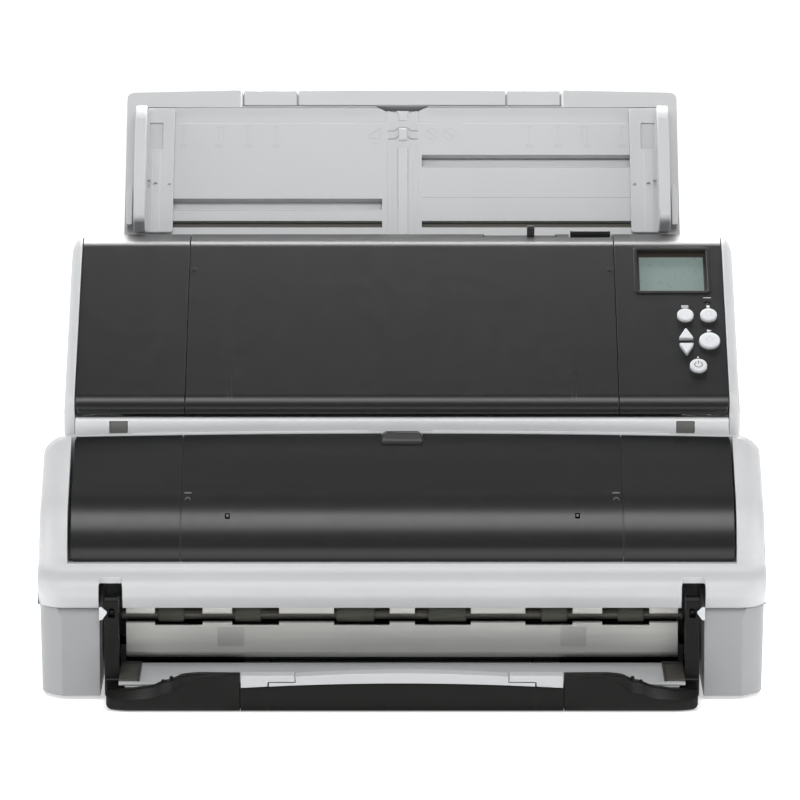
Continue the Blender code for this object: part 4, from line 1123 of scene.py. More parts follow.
front = outline("scanner_front_skin", "side",
                [(80.0, 66.0), (80.0, 139.6), (80.3, 140.8), (81.4, 141.5), (91.0, 141.6), (91.0, 140.4), (83.4, 140.2),
                 (83.0, 139.6), (83.0, 69.5), (92.0, 69.5), (92.0, 66.0)], -PANEL_HALF, PANEL_HALF)
cut(front, block("c", (-156, 156), (76, 87), (112, 124)),
    block("c", (-164.0, -153.7), (76, 87), (133.0, 140.0)), block("c", (153.7, 164.0), (76, 87), (133.0, 140.0)))
soften(front, 0.4, 2)
done(front, LEDGE_PAINTED_LIGHT, "base", "white_shell", "scanner_front_cover")
caps = []
for side in (-1, 1):
    lo, hi = sorted((side * 153.95, side * 163.75))
    caps.append(outline("cap", "front", round_rect(lo, hi, 132.6, 139.8, 0.6, 3), -83.0, -80.4))
caps = merge("arm_slot_caps", caps)
soften(caps, 0.3, 2)
done(caps, GREY_CAP, "base", "guide_grey")

refine("scanner_base_plate", PLATE, "base", "guide_grey", 0.3)

# ------------------------------------------------------------------ back of the scanner
rear = outline("rear_cover_skin", "side",
               [(235.0, 209.0), (242.0, 210.6), (250, 208.4), (258.0, 204.2), (272, 195.6), (284.6, 186.4), (287.6, 183.4),
                (289.0, 180.0), (289.0, 66.0), (286.0, 66.0), (286.0, 182.0), (257.0, 201.4), (242.0, 207.6), (235.0, 205.6)],
               -PANEL_HALF, PANEL_HALF)
cut(rear, outline("c", "front", round_rect(-152.4, -135.6, 88.6, 103.4, 1.6), -295, -280),
    outline("c", "front", round_rect(119.6, 132.4, 88.6, 100.4, 1.0), -295, -280))
vents = []
for i in range(18):
    x = -51 + i * 6.0
    vents.append(outline("c", "front", round_rect(x - 1.3, x + 1.3, 126.0, 152.0, 1.3, 4), -292, -288.1))
vents.append(outline("c", "front", round_rect(-96, 96, 72.6, 73.2, 0.3, 2), -292, -288.4))
vents += [outline("c", "front", round_rect(-150, 150, 172.4, 173.0, 0.3, 2), -292, -288.4)]
cut(rear, *vents)
soften(rear, 0.35, 2)
done(rear, WHITE, "base", "white_shell", "rear_cover")
for i, (x, z) in enumerate(((-170, 80), (170, 80), (-170, 162), (170, 162))):
    screw(f"rear_screw_{i}", (x, 288.7, z), (0, 0.999, 0), 2.6)
inlet = refine("power_inlet", BLACK, "base", "black_plastic", 0.3)
pin = lathe("power_inlet_pin", (-144, 277, 96), (-144, 288, 96), [(0, 0), (0, 1.2), (8.6, 1.2), (9.4, 0.7), (9.6, 0)], 24)
done(pin, BRASS, "base", "steel")
refine("usb_port", GALV, "base", "steel", 0.25)
tongue = block("usb_tongue", (122.8, 129.2), (277.0, 287.2), (92.6, 95.0))
soften(tongue, 0.3)
done(tongue, CHIP, "base", "black_plastic")
board = refine("main_board", BOARD, "base", "board", 0.15, 1)
chips = []
for x, z, w, h, t in ((-60, 120, 26, 26, 2.0), (10, 140, 18, 12, 1.6), (50, 110, 14, 20, 1.6), (-10, 95, 30, 8, 3.4), (70, 150, 10, 10, 1.4)):
    chips.append(block("chip", (x - w / 2, x + w / 2), (276.8 - t, 276.9), (z - h / 2, z + h / 2)))
chips = merge("board_chips", chips)
soften(chips, 0.3)
done(chips, CHIP, "base", "board")

# ------------------------------------------------------------------ paper path under the upper unit
guide = outline("lower_paper_guide_skin", "panel",
                [rect(-165, 165, 1.0, 136.0), rect(-156.8, 156.8, 41.4, 60.6), rect(-32, 32, 86.4, 109.6),
                 rect(-32, 32, 111.4, 133.6)], PATH_OFF - 4.0, PATH_OFF)
grooves = []
for x in range(-140, 141, 28):
    for a0, a1 in ((4, 38), (64, 84), (112, 133)):
        if abs(x) < 36 and a0 > 80:
            continue
        grooves.append(outline("c", "panel", round_rect(x - 0.8, x + 0.8, a0, a1, 0.8, 3), PATH_OFF - 0.7, PATH_OFF + 2))
cut(guide, *grooves)
soften(guide, 0.25, 2)
done(guide, GALV, "base", "guide_grey", "lower_paper_guide")
refine("lower_scan_unit", BLACK, "base", "black_plastic", 0.5)
low_glass = outline("lower_scan_glass", "panel", round_rect(-152, 152, 44.5, 57.5, 0.8, 3), PATH_OFF - 0.35, PATH_OFF - 0.05)
done(soften(low_glass, 0.08, 1), GLASS, "base", "display_glass")


def ringed(start, end, r, shaft_r, half, reach, body, node, name, extra=None):
    """A steel shaft and its ribbed rubber roller."""
    y, z = start
    long = reach[0] + reach[1]
    bar = lathe(name + "_steel", (-reach[0], y, z), (reach[1], y, z),
                [(0, 0), (0, shaft_r - 0.4), (0.4, shaft_r), (long - 0.4, shaft_r), (long, shaft_r - 0.4), (long, 0)], 40)
    done(bar, STEEL, body, "steel", node)
    profile = [(0, shaft_r), (0, r * 0.72), (0.8, r * 0.72), (0.8, r - 0.5)]
    n = int(2 * half // 4)
    for i in range(n):
        s = 1.2 + (2 * half - 2.4) * i / n
        e = 1.2 + (2 * half - 2.4) * (i + 1) / n
        profile += [(s + 0.15, r), (e - 0.55, r), (e - 0.4, r - 0.35), (e - 0.15, r - 0.35)]
    profile += [(2 * half - 0.8, r - 0.5), (2 * half - 0.8, r * 0.72), (2 * half, r * 0.72), (2 * half, shaft_r)]
    tyre = lathe(name + "_tyre", (-half, y, z), (half, y, z), profile, 56)
    done(tyre, RUBBER, body, "roller_rubber")
    return bar


FEED_AT, PICK_AT = panel(98.0, PATH_OFF - 10), panel(122.5, PATH_OFF - 9.6)
ringed(FEED_AT, None, 11.0, 3.0, 29, (177, 165), "feed_roller", "feed_roller", "feed_roller_part")
ringed(PICK_AT, None, 10.6, 3.0, 29, (165, 165), "pick_roller", "pick_roller", "pick_roller_part")


def toothed(name, x0, x1, at, r, teeth, body, slot_name, mat, nodes=()):
    """A toothed timing pulley."""
    y, z = at
    loop = []
    for i in range(teeth):
        t = 2 * math.pi * i / teeth
        for dt, rr in ((-0.30, r - 0.7), (-0.2, r), (0.2, r), (0.30, r - 0.7)):
            a = t + dt * 2 * math.pi / teeth
            loop.append((y + rr * math.cos(a), z + rr * math.sin(a)))
    wheel = outline(name, "side", loop, x0, x1)
    wheel.data.shade_smooth()
    wheel.data.set_sharp_from_angle(angle=math.radians(30))
    return done(wheel, mat, body, slot_name, *nodes)


MOTOR_AT = (226.0, 112.0)
toothed("feed_pulley_teeth", -175.7, -168.3, FEED_AT, 9.9, 36, "feed_roller", "guide_grey", BLACK)
toothed("motor_pulley_teeth", -175.7, -168.3, MOTOR_AT, 4.9, 18, "motor_pulley", "steel", STEEL, ("motor_pulley",))
spindle = lathe("motor_spindle", (-176, *MOTOR_AT), (-164.5, *MOTOR_AT), [(0, 0), (0, 1.6), (0.3, 2.0), (11.5, 2.0), (11.5, 0)], 24)
done(spindle, STEEL, "motor_pulley", "steel")
motor = lathe("feed_motor_can", (-164, *MOTOR_AT), (-126, *MOTOR_AT),
              [(0, 0), (0, 7.0), (0.2, 7.2), (0.2, 20.0), (0.8, 21.0), (3.6, 21.0), (3.6, 20.4), (33.0, 20.4), (33.6, 21.0),
               (37.2, 21.0), (38, 20.0), (38, 0)], 56)
done(motor, GALV, "base", "steel", "feed_motor")


def belt_loop(c1, r1, c2, r2, steps=26):
    dy, dz = c2[0] - c1[0], c2[1] - c1[1]
    dist = math.hypot(dy, dz)
    base = math.degrees(math.atan2(dz, dy))
    lean = math.degrees(math.acos((r1 - r2) / dist))
    return (arc(*c1, r1, base + lean, base + 360 - lean, steps * 2) + arc(*c2, r2, base - lean, base + lean, steps))


belt = outline("drive_belt_skin", "side", [belt_loop(FEED_AT, 12.0, MOTOR_AT, 7.0), belt_loop(FEED_AT, 10.5, MOTOR_AT, 5.5)],
               -175.0, -169.0)
belt.data.shade_smooth()
belt.data.set_sharp_from_angle(angle=math.radians(35))
done(belt, BELT, "base", "roller_rubber", "drive_belt")

# ================================================================== dark upper unit
lip = [(87.5, 142.6), (83.2, 143.3), (81.8, 144.3), (80.9, 145.3)] + arc(89.1, 147.15, 9.0, 180, PN_DEG, 12)
turn_r = 14.0
top_c = panel(SLOPE_LEN, -turn_r)
top_arc = arc(*top_c, turn_r, PN_DEG, 92.0, 8)
REAR_TOP = (212.5, top_arc[-1][1] + 0.5)


def rear_face(k, back=0.0):
    return (REAR_TOP[0] - 0.8 - k * CT[0] + back * CN[0], REAR_TOP[1] - 1.2 - k * CT[1] + back * CN[1])


outer = [(90.5, 142.6)] + lip + [panel(a) for a in (12, 30, 50, 70, 90, 108)] + top_arc + [
    (200.0, REAR_TOP[1] + 0.02), (208.0, REAR_TOP[1] + 0.02), (REAR_TOP[0] - 1.6, REAR_TOP[1] - 0.2), (REAR_TOP[0] - 0.9, REAR_TOP[1] - 0.9)]
skin_closed = outer + [rear_face(1), rear_face(12), panel(118, -8), panel(8, -5.4), (90.5, 146.2)]
skin_inner = ([(90.4, 146.2)] + arc(*LIP_C, LIP_R - 2.5, 265, PN_DEG, 6)
              + arc(*top_c, turn_r - 2.5, PN_DEG, 92.0, 5)
              + [(rear_face(0)[0] - 2.8, REAR_TOP[1] - 2.5), (rear_face(14)[0] - 2.8, rear_face(14)[1]), panel(116, -30), panel(0, -30)])


def skin(name, x0, x1, round_left, round_right):
    obj = outline(name, "side", skin_closed, x0, x1)
    # corner radii: seen from above at the rear edge, and in the panel's own plane at the lower edge
    top, low = 9.5, 3.2
    plan = [(x0, 60), (x1, 60)]
    plan += ([(x1, 200.5)] + arc(x1 - top, 212.6 - top, top, 0, 90, 8)) if round_right else [(x1, 213)]
    plan += (arc(x0 + top, 212.6 - top, top, 90, 180, 8) + [(x0, 200.5)]) if round_left else [(x0, 213)]
    face = []
    face += (arc(x0 + low, low - 8.4, low, 180, 270, 6)) if round_left else [(x0, -8.4)]
    face += (arc(x1 - low, low - 8.4, low, 270, 360, 6)) if round_right else [(x1, -8.4)]
    face += [(x1, 170), (x0, 170)]
    common(obj, outline("c", "plan", plan, 120, 260))
    common(obj, outline("c", "panel", face, -60, 30))
    cut(obj, outline("c", "side", skin_inner, x0 + 2.2, x1 - 2.2))
    return obj


left = skin("adf_left_skin", -PANEL_HALF, -SEAM - GAP / 2, True, False)
centre = skin("adf_center_skin", -SEAM + GAP / 2, SEAM - GAP / 2, False, False)
right = skin("operator_skin", SEAM + GAP / 2, PANEL_HALF, False, True)

cut(centre, block("c", (58.0, 77.6), (203.2, 207.6), (196, 235)),
    block("c", (96.4, 120.8), (200.0, 220), (217.4, 235)),
    outline("c", "plan", [(46.6, 201.6), (89.4, 201.6), (88.2, 213.6), (47.8, 213.6)], REAR_TOP[1] - 1.0, 240))
# rounded slits at the foot of the centre cover, over its hinge arms
slits = []
for x in (-96.5, 96.5):
    for dx in (-1.15, 1.15):
        slits.append(outline("c", "panel", round_rect(x + dx - 0.14, x + dx + 0.14, -4.0, 16.4, 0.14, 2), -0.6, 3))
    slits.append(outline("c", "panel", arc(x, 16.6, 1.29, 0, 180, 8) + arc(x, 16.6, 1.01, 180, 0, 8), -0.5, 3))
LCD_BOX = (133.6, 175.1, 82.4, 118.2)
cut(right, outline("c", "panel", round_rect(*LCD_BOX, 2.0), -6, 4))
BUTTONS = {"menu_button": (160.8, 62.8, 4.7), "stop_button": (174.0, 62.8, 4.8),
           "scan_button": (173.9, 42.1, 5.95), "power_button": (166.9, 22.0, 4.9)}
TRIANGLES = {"up_button": (160.7, 47.0, 1), "down_button": (160.7, 35.6, -1)}


def disc(x, a, r, n=48):
    return arc(x, a, r, 0, 360, n)[:-1]


def triangle(x, a, way, grow=0.0, r=0.7):
    """A triangle with rounded corners."""
    half, low_a, high_a = 4.25 + grow * 1.6, -3.6 - grow, 4.6 + grow * 2
    corners = [(x - half, a + way * low_a), (x + half, a + way * low_a), (x, a + way * high_a)]
    if way < 0:
        corners = corners[::-1]
    cx, ca = sum(c[0] for c in corners) / 3, sum(c[1] for c in corners) / 3
    out = []
    for i, c in enumerate(corners):
        before, after = corners[i - 1], corners[(i + 1) % 3]
        for other_a, other_b in ((before, after),):
            va = Vector((other_a[0] - c[0], other_a[1] - c[1])).normalized()
            vb = Vector((other_b[0] - c[0], other_b[1] - c[1])).normalized()
            pa, pb = Vector(c) + va * r * 1.5, Vector(c) + vb * r * 1.5
            for k in range(6):
                t = k / 5
                out.append(tuple(pa * (1 - t) ** 2 + Vector(c) * 2 * t * (1 - t) + pb * t * t))
    return out


holes = [outline("c", "panel", disc(x, a, r + 0.4), -6, 4) for x, a, r in BUTTONS.values()]
holes += [outline("c", "panel", triangle(x, a, w, 0.4), -6, 4) for x, a, w in TRIANGLES.values()]
cut(right, *holes)
jewel = [outline("c", "panel", [(173.7 - 2.1, 73.4), (173.7, 73.4 - 1.7), (173.7 + 2.1, 73.4), (173.7, 73.4 + 1.7)], -0.9, 4)]
for obj, node, late in ((left, "adf_left_cover", ()), (centre, "adf_center_cover", slits), (right, "operator_panel", jewel)):
    soften(obj, 0.32, 2, 34, late=late)
    done(obj, DARK, "adf_unit", "dark_panel", node)

# black strips inside the seams between the panels
seal = outline("adf_seam_strip", "side", [panel(2, -2.7), panel(2, -4.0), panel(112, -4.0), panel(112, -2.7)], -0.6, 0.6)
strips = []
for s in (-1, 1):
    strips.append(outline("strip", "side", grown(outer, -3.0)[3:-6] + grown(outer, -4.2)[3:-6][::-1], s * SEAM - 1.6, s * SEAM + 1.6))
bpy.data.objects.remove(seal)
seal = merge("adf_seam_strips", strips)
done(seal, SOOT, "adf_unit", "black_plastic")
nubs = []
for s in (-1, 1):
    nubs.append(outline("nub", "panel", round_rect(s * 118.9 - 1.5, s * 118.9 + 1.5, 99.6, 102.2, 0.6, 3), -0.6, 0.35))
nubs = merge("adf_stop_nubs", nubs)
soften(nubs, 0.2)
done(nubs, DARK, "adf_unit", "dark_panel")

# display window
x0, x1, a0, a1 = LCD_BOX
ring_outer = round_rect(x0 - 1.0, x1 + 1.0, a0 - 1.0, a1 + 1.0, 2.8)
ring_inner = round_rect(x0 + 0.7, x1 - 0.7, a0 + 0.7, a1 - 0.7, 1.6)
bezel = outline("lcd_bezel", "panel", [ring_outer, ring_inner], -0.5, 0.55)
soften(bezel, 0.32, 3)
done(bezel, DARK, "adf_unit", "dark_panel")
well = outline("lcd_well", "panel", [round_rect(x0 + 0.35, x1 - 0.35, a0 + 0.35, a1 - 0.35, 1.6), rect(135.9, 172.5, 84.9, 114.4)],
               -4.3, -3.0)
soften(well, 0.2)
BEZEL = material("bezel_black", (0.026, 0.0215, 0.018), 0.4, grain=1500.0, bump=0.00001)
done(well, BEZEL, "adf_unit", "display_glass")
wall = outline("lcd_well_wall", "panel", [round_rect(x0 + 0.3, x1 - 0.3, a0 + 0.3, a1 - 0.3, 1.7), round_rect(x0 + 0.9, x1 - 0.9, a0 + 0.9, a1 - 0.9, 1.3)],
               -4.4, 0.2)
soften(wall, 0.15)
done(wall, BEZEL, "adf_unit", "display_glass")
cell = outline("lcd_cell", "panel", round_rect(135.4, 173.0, 84.4, 114.9, 0.4, 3), -4.5, -3.4)
soften(cell, 0.1)
done(cell, LCD, "adf_unit", "display_glass", "lcd_display")

# keys
for name, (x, a, r) in BUTTONS.items():
    start, end = (x, *panel(a, -4.2)), (x, *panel(a, 2.0))
    key = lathe(name + "_cap", start, end,
                [(0, 0), (0, r - 0.2), (0.3, r), (5.0, r), (5.55, r - 0.12), (5.95, r - 0.42), (6.15, r - 0.95), (6.05, r * 0.55), (6.0, 0.0)], 56)
    done(key, KEY, name, "key_plastic", name)
for name, (x, a, w) in TRIANGLES.items():
    key = outline(name + "_cap", "panel", triangle(x, a, w), -4.2, 2.0)
    soften(key, 0.45, 3, 50)
    done(key, KEY, name, "key_plastic", name)


def flat_mark(name, shapes, body, mat, slot_name="key_plastic", off=0.0, thick=0.12, kind="panel", sink=0.12):
    made = [outline("m", kind, s, off - sink, off + thick) for s in shapes]
    return done(merge(name, made), mat, body, slot_name)


def bar_between(p, q, w):
    dx, dy = q[0] - p[0], q[1] - p[1]
    long = math.hypot(dx, dy)
    nx, ny = -dy / long * w / 2, dx / long * w / 2
    return [(p[0] - nx, p[1] - ny), (q[0] - nx, q[1] - ny), (q[0] + nx, q[1] + ny), (p[0] + nx, p[1] + ny)]


def ring_shape(x, a, r, w, start=0, end=360, n=36):
    if end - start >= 360:
        return [disc(x, a, r + w / 2, n), disc(x, a, r - w / 2, n)]
    return arc(x, a, r + w / 2, start, end, n) + arc(x, a, r - w / 2, end, start, n)


x, a, _ = BUTTONS["power_button"]
flat_mark("power_symbol", [ring_shape(x, a - 0.15, 2.15, 0.62, 122, 418), bar_between((x, a + 0.5), (x, a + 3.0), 0.62)], "power_button",
          GREY_PRINT, off=1.83, thick=0.06, sink=0.3)
x, a, _ = BUTTONS["scan_button"]
flat_mark("scan_symbol", [bar_between((x - 2.4, a), (x, a + 2.0), 0.3), bar_between((x, a + 2.0), (x + 2.4, a), 0.3),
                          bar_between((x + 2.4, a), (x, a - 2.0), 0.3), bar_between((x, a - 2.0), (x - 2.4, a), 0.3)], "scan_button",
          CHUTE, off=1.83, thick=0.08, sink=0.3)
x, a, _ = BUTTONS["stop_button"]
flat_mark("stop_symbol", [ring_shape(x, a, 1.8, 0.3)], "stop_button", CHUTE, off=1.83, thick=0.08, sink=0.3)

# plain pictogram marks above the keys in place of words
icons = []
x, a, r = BUTTONS["menu_button"]
icons += [bar_between((x - 2.0, a + r + 2.1 + k), (x + 2.0, a + r + 2.1 + k), 0.36) for k in (0, 0.8, 1.6)]
x, a, r = BUTTONS["stop_button"]
icons += [rect(x - 0.9, x + 0.9, a + r + 2.0, a + r + 3.7)]
x, a, r = BUTTONS["scan_button"]
icons += [[(x - 1.1, a + r + 1.7), (x + 1.5, a + r + 2.75), (x - 1.1, a + r + 3.8)]]
x, a, r = BUTTONS["power_button"]
icons += [disc(x, a + r + 2.5, 0.55, 16)]
icons += [bar_between((173.7 - 2.2, 77.6), (173.7 + 2.2, 77.6), 0.4)]
flat_mark("key_pictograms", icons, "adf_unit", PAINT, "key_plastic", off=0.0, thick=0.06, sink=0.2)
lens = lathe("status_lens", (173.7, *panel(73.4, -1.6)), (173.7, *panel(73.4, 1)), [(0, 0), (0, 0.85), (0.9, 0.85), (1.2, 0.55), (1.3, 0)], 24)
done(lens, LENS, "adf_unit", "display_glass")

# selector and release tab
selector = outline("feed_selector_skin", "front", [(72.2, 214.0), (76.4, 214.0), (76.5, 227.6), (75.8, 228.5), (72.8, 228.5), (72.1, 227.6)],
                   -206.9, -203.9)
ridges = [block("c", (71, 78), (203.0, 204.2), (z, z + 0.35)) for z in (223.6, 224.6, 225.6)]
cut(selector, *ridges)
soften(selector, 0.3, 2)
done(selector, BLACK, "feed_selector", "black_plastic", "feed_selector")
release = outline("adf_release_skin", "side", [(205.5, 218.0), (205.4, 222.6), (205.9, 225.0), (207.2, 225.4), (208.2, 224.6), (208.2, 218.0)],
                  97.1, 120.3)
soften(release, 0.3, 3)
done(release, DARK, "release_tab", "black_plastic", "adf_release_tab")
floor_z = REAR_TOP[1] - 1.0
marks = []
for x in (50.6, 52.8, 55.0):
    marks.append([(x - 0.8, 203.6), (x + 0.4, 203.6), (x + 0.9, 206.8), (x - 0.3, 206.8)])
for x in (80.6, 83.0, 85.4):
    marks.append(round_rect(x - 0.8, x + 0.8, 203.8, 206.6, 0.5, 3))
flat_mark("selector_marks", marks, "adf_unit", GREY_PRINT, "dark_panel", off=floor_z, thick=0.12, kind="plan", sink=0.3)

# inside of the upper unit
refine("adf_inner_frame", BLACK, "adf_unit", "guide_grey", 0.5)
refine("upper_scan_unit", SOOT, "adf_unit", "black_plastic", 0.4)
up_glass = outline("upper_scan_glass", "panel", round_rect(-152, 152, 44.5, 57.5, 0.8, 3), -24.1, -23.75)
done(soften(up_glass, 0.08, 1), GLASS, "adf_unit", "display_glass")
BRAKE_AT = panel(97.6, -18.6)
y, z = BRAKE_AT
brake = lathe("brake_roller_tyre", (-30, y, z), (30, y, z),
              [(0, 0), (0, 2.4), (0.5, 2.8), (2.6, 2.8), (2.6, 5.6), (3.0, 6.3), (18.5, 6.35), (18.9, 5.2), (19.6, 5.2), (20, 6.35), (40, 6.35),
               (40.4, 5.2), (41.1, 5.2), (41.5, 6.35), (57.0, 6.3), (57.4, 5.6), (57.4, 2.8), (59.5, 2.8), (60, 2.4), (60, 0)], 52)
done(brake, RUBBER, "brake_roller", "roller_rubber", "brake_roller")

# ================================================================== paper chute
LEFT_SLOT, RIGHT_SLOT, LOW_SLOT = (20.5, 27.8), (49.3, 57.4), (8.5, 12.9)
edge_top = [(CHUTE_HALF, 90.0)] + [(CHUTE_HALF - 4.0 + 4.0 * math.cos(math.radians(t)), 95.7 + 4.0 * math.sin(math.radians(t)))
                                   for t in (0, 18, 36, 54, 72)] + [(CHUTE_HALF - 5.2, 99.8), (140, 100.2), (120, 100.7), (94.8, 101.3)]
notch = [(94.8, 90.3), (15.6, 90.3), (12.5, 89.2), (9.4, 87.4), (5.5, 86.3), (0, 86.0)]
right_half = edge_top + notch
loop = [(-CHUTE_HALF, -10.0), (CHUTE_HALF, -10.0)] + right_half + [(-x, s) for x, s in reversed(right_half[:-1])]
chute_skin = outline("paper_chute_skin", "chute", loop, -10.9, 0.0)
cuts = [outline("c", "chute", rect(-157, 157, -6.5, 86.0), -20, -2.5),
        outline("c", "chute", rect(-96.8, 96.8, 80, 120), -20, -3.0),
        outline("c", "chute", rect(-147.5, -11.5, *LEFT_SLOT), -8, 4),
        outline("c", "chute", rect(11.5, 147.5, *RIGHT_SLOT), -8, 4),
        outline("c", "chute", rect(-147.5, -11.5, *LOW_SLOT), -8, 4),
        outline("c", "chute", rect(11.5, 147.5, *LOW_SLOT), -8, 4)]
cut(chute_skin, *cuts)
# stepped band above the paper fields, and the grooves beside the rib
for s in (-1, 1):
    lo, hi = sorted((s * 8.6, s * 151.0))
    cut(chute_skin, outline("c", "side", [chute(78.4, 1), chute(78.4, -0.15), chute(79.7, -0.65), chute(88.4, -1.0), chute(89.8, -1.0), chute(89.8, 1)], lo, hi))
late = []
for x, w in ((-8.3, 0.30), (9.3, 0.30), (-2.7, 0.34), (3.7, 0.34), (-5.4, 0.2), (6.4, 0.2), (-152.9, 0.3), (152.9, 0.3)):
    top = 62.0 if abs(x) < 4.5 else 77.8
    late.append(outline("c", "chute", rect(x - w / 2, x + w / 2, -9, top), -0.30, 2))
for x0, x1, s0 in ((11.6, 147.4, 28.5), (-147.4, -11.6, 19.9), (11.6, 147.4, 48.9)):
    late.append(outline("c", "chute", rect(x0, x1, s0 - 0.13, s0 + 0.13), -0.30, 2))
# spring clip around the rib's button
for s in (-1, 1):
    for a0 in (73.6, 68.1):
        shape = [(4.2, a0 - 0.42), (8.9, a0 - 0.42), (8.9, a0 + 0.42), (4.6, a0 + 0.42), (3.1, a0 + 2.3), (2.5, a0 + 1.7)]
        late.append(outline("c", "chute", [(0.5 + s * x, v) for x, v in shape][::s], -1.6, 2))
late.append(outline("c", "chute", rect(-2.2, 3.2, 75.7, 76.2), -0.8, 2))
flat_faces(chute_skin)
soften(chute_skin, 0.16, 2, 30, clean=False)
fine_cuts(chute_skin, late)
flat_shade(chute_skin, (0, CN[0], CN[1]))
done(chute_skin, CHUTE, "base", "chute_grey", "paper_chute")
# slot returns: the walls seen inside the two upper slots
returns = []
for x0, x1, (s0, s1) in ((-147.9, -11.1, LEFT_SLOT), (11.1, 147.9, RIGHT_SLOT)):
    returns += [outline("r", "chute", rect(x0, x1, s1 + 0.05, s1 + 1.1), -4.9, -2.2),
                outline("r", "chute", rect(x0, x1, s0 - 1.1, s0 - 0.05), -4.9, -2.2)]
returns = merge("chute_slot_returns", returns)
soften(returns, 0.2)
done(returns, CHUTE, "base", "chute_grey")
extras = [outline("rib", "side", [chute(-8, -0.3), chute(-8, 0.3), chute(60.0, 0.3), chute(62.0, 0.6), chute(62.0, -0.3)], -2.3, 3.3),
          outline("button", "side", [chute(66.4, -0.3), chute(66.8, 0.8), chute(68.4, 1.5), chute(72.4, 1.9), chute(74.6, 1.5), chute(75.4, 0.6), chute(75.4, -0.3)], -1.9, 2.9),
          outline("crown", "chute", [(-1.9, 80.4), (2.9, 80.4), (2.4, 84.0), (4.4, 86.9), (-3.4, 86.9), (-1.4, 84.0)], -0.9, 0.5)]
rib = merge("chute_rib_button", extras)
soften(rib, 0.35, 2)
done(rib, GUIDE, "base", "chute_grey")
# embossed width ticks and plain pictograms
shapes = []
for x in (73.9, 90.8, 104.9, 107.8, 128.2):
    for s in (-1, 1):
        c = 0.45 + s * x
        for i in range(6):
            shapes.append(rect(c - 0.3, c + 0.3, 66.9 + i * 1.45, 67.7 + i * 1.45))
        shapes.append(bar_between((c - 1.5, 76.3), (c + 1.5, 76.3), 0.45))
        if x != 104.9:
            shapes.append(rect(c - 1.9, c - 0.3, 62.4, 64.6))
            shapes.append(rect(c + 0.3, c + 1.9, 62.4, 64.6))
for x in (17.2, 27.9):
    shapes.append(ring_shape(x, 71.4, 3.6, 0.4))
    shapes.append(bar_between((x - 2.5, 73.9), (x + 2.5, 68.9), 0.4))
for p, q in (((-19.6, 68.4), (-12.6, 68.4)), ((-12.6, 68.4), (-12.6, 76.0)), ((-12.6, 76.0), (-19.6, 70.6)), ((-19.6, 70.6), (-19.6, 68.4)),
             ((-17.8, 66.2), (-16.0, 64.8)), ((-16.0, 64.8), (-14.2, 66.2))):
    shapes.append(bar_between(p, q, 0.4))
# a darker copy of the chute plastic: painted shade on the embossed marks
EMBOSS_PAINTED_SHADE = material("chute_abs_emboss_painted_shade", (0.455, 0.462, 0.472), 0.5, bump=0.000014, vary=0.02)
flat_mark("chute_emboss", shapes, "base", EMBOSS_PAINTED_SHADE, "chute_grey", off=0.0, thick=0.10, kind="chute", sink=0.15)
# dark strip behind the lower slots: painted shade standing in for the shaded interior of the throat
strip = merge("chute_throat_painted_shade_strip", [outline("t", "chute", rect(-148.5, 148.5, 7.2, 14.2), -3.7, -2.9)])
THROAT_PAINTED_SHADE = material("throat_painted_shade", (0.062, 0.060, 0.048), 0.55, grain=900.0)
soften(strip, 0.1, 1)
done(strip, THROAT_PAINTED_SHADE, "base", "chute_grey")

back_cover = outline("chute_back_skin", "chute", round_rect(-CHUTE_HALF, CHUTE_HALF, -10.0, 89.5, 4.0), -13.4, -11.3)
ribs = [outline("c", "chute", round_rect(x - 0.7, x + 0.7, 0, 80, 0.7, 3), -16, -12.9) for x in range(-140, 141, 20)]
ribs.append(outline("c", "chute", round_rect(-150, 150, 84.4, 85.2, 0.4, 2), -16, -12.8))
cut(back_cover, *ribs)
soften(back_cover, 0.4, 2)
done(back_cover, CHUTE, "base", "chute_grey", "chute_back_cover")
for i, (x, s) in enumerate(((-150, 4), (150, 4), (-150, 82), (150, 82))):
    y, z = chute(s, -13.2)
    head = lathe(f"chute_screw_{i}", (x, y, z), (x, y - CN[0], z - CN[1]), [(-0.4, 2.5), (0, 2.6), (0.5, 2.5), (0.9, 2.0), (1.1, 1.2), (1.12, 0)], 32)
    done(head, STEEL, "base", "steel")

# extension with its arched grip and two end blocks
parts = [outline("chute_extension_skin", "chute", rect(-94.0, 94.0, -4.0, 92.0), -10.5, -6.9),
         outline("e", "chute", rect(-93.9, 93.9, 91.2, 100.9), -10.5, -3.2)]
for x0, x1, top in ((-92.8, -61.7, 101.5), (61.7, 92.8, 101.5)):
    parts.append(outline("e", "chute", round_rect(x0, x1, 91.4, top, 0.8, 3), -10.3, -0.6))
parts.append(outline("e", "chute", [(-60.7, 91.4), (60.7, 91.4), (60.7, 101.4)] + [(x, 101.5 + 0.4 * (1 - (x / 60) ** 2)) for x in span(59.5, -59.5, 20)]
                     + [(-60.7, 101.4)], -10.3, -0.4))
parts += [outline("e", "chute", rect(*sorted((s * 93.6, s * 94.2)), 91.2, 100.9), -10.4, -1.2) for s in (-1, 1)]
for part in parts:
    tidy(part)
    soften(part, 0.7, 4, 40, clean=False)
plate = merge("chute_extension_skin", parts)
done(plate, GUIDE, "chute_extension", "chute_grey", "chute_extension")

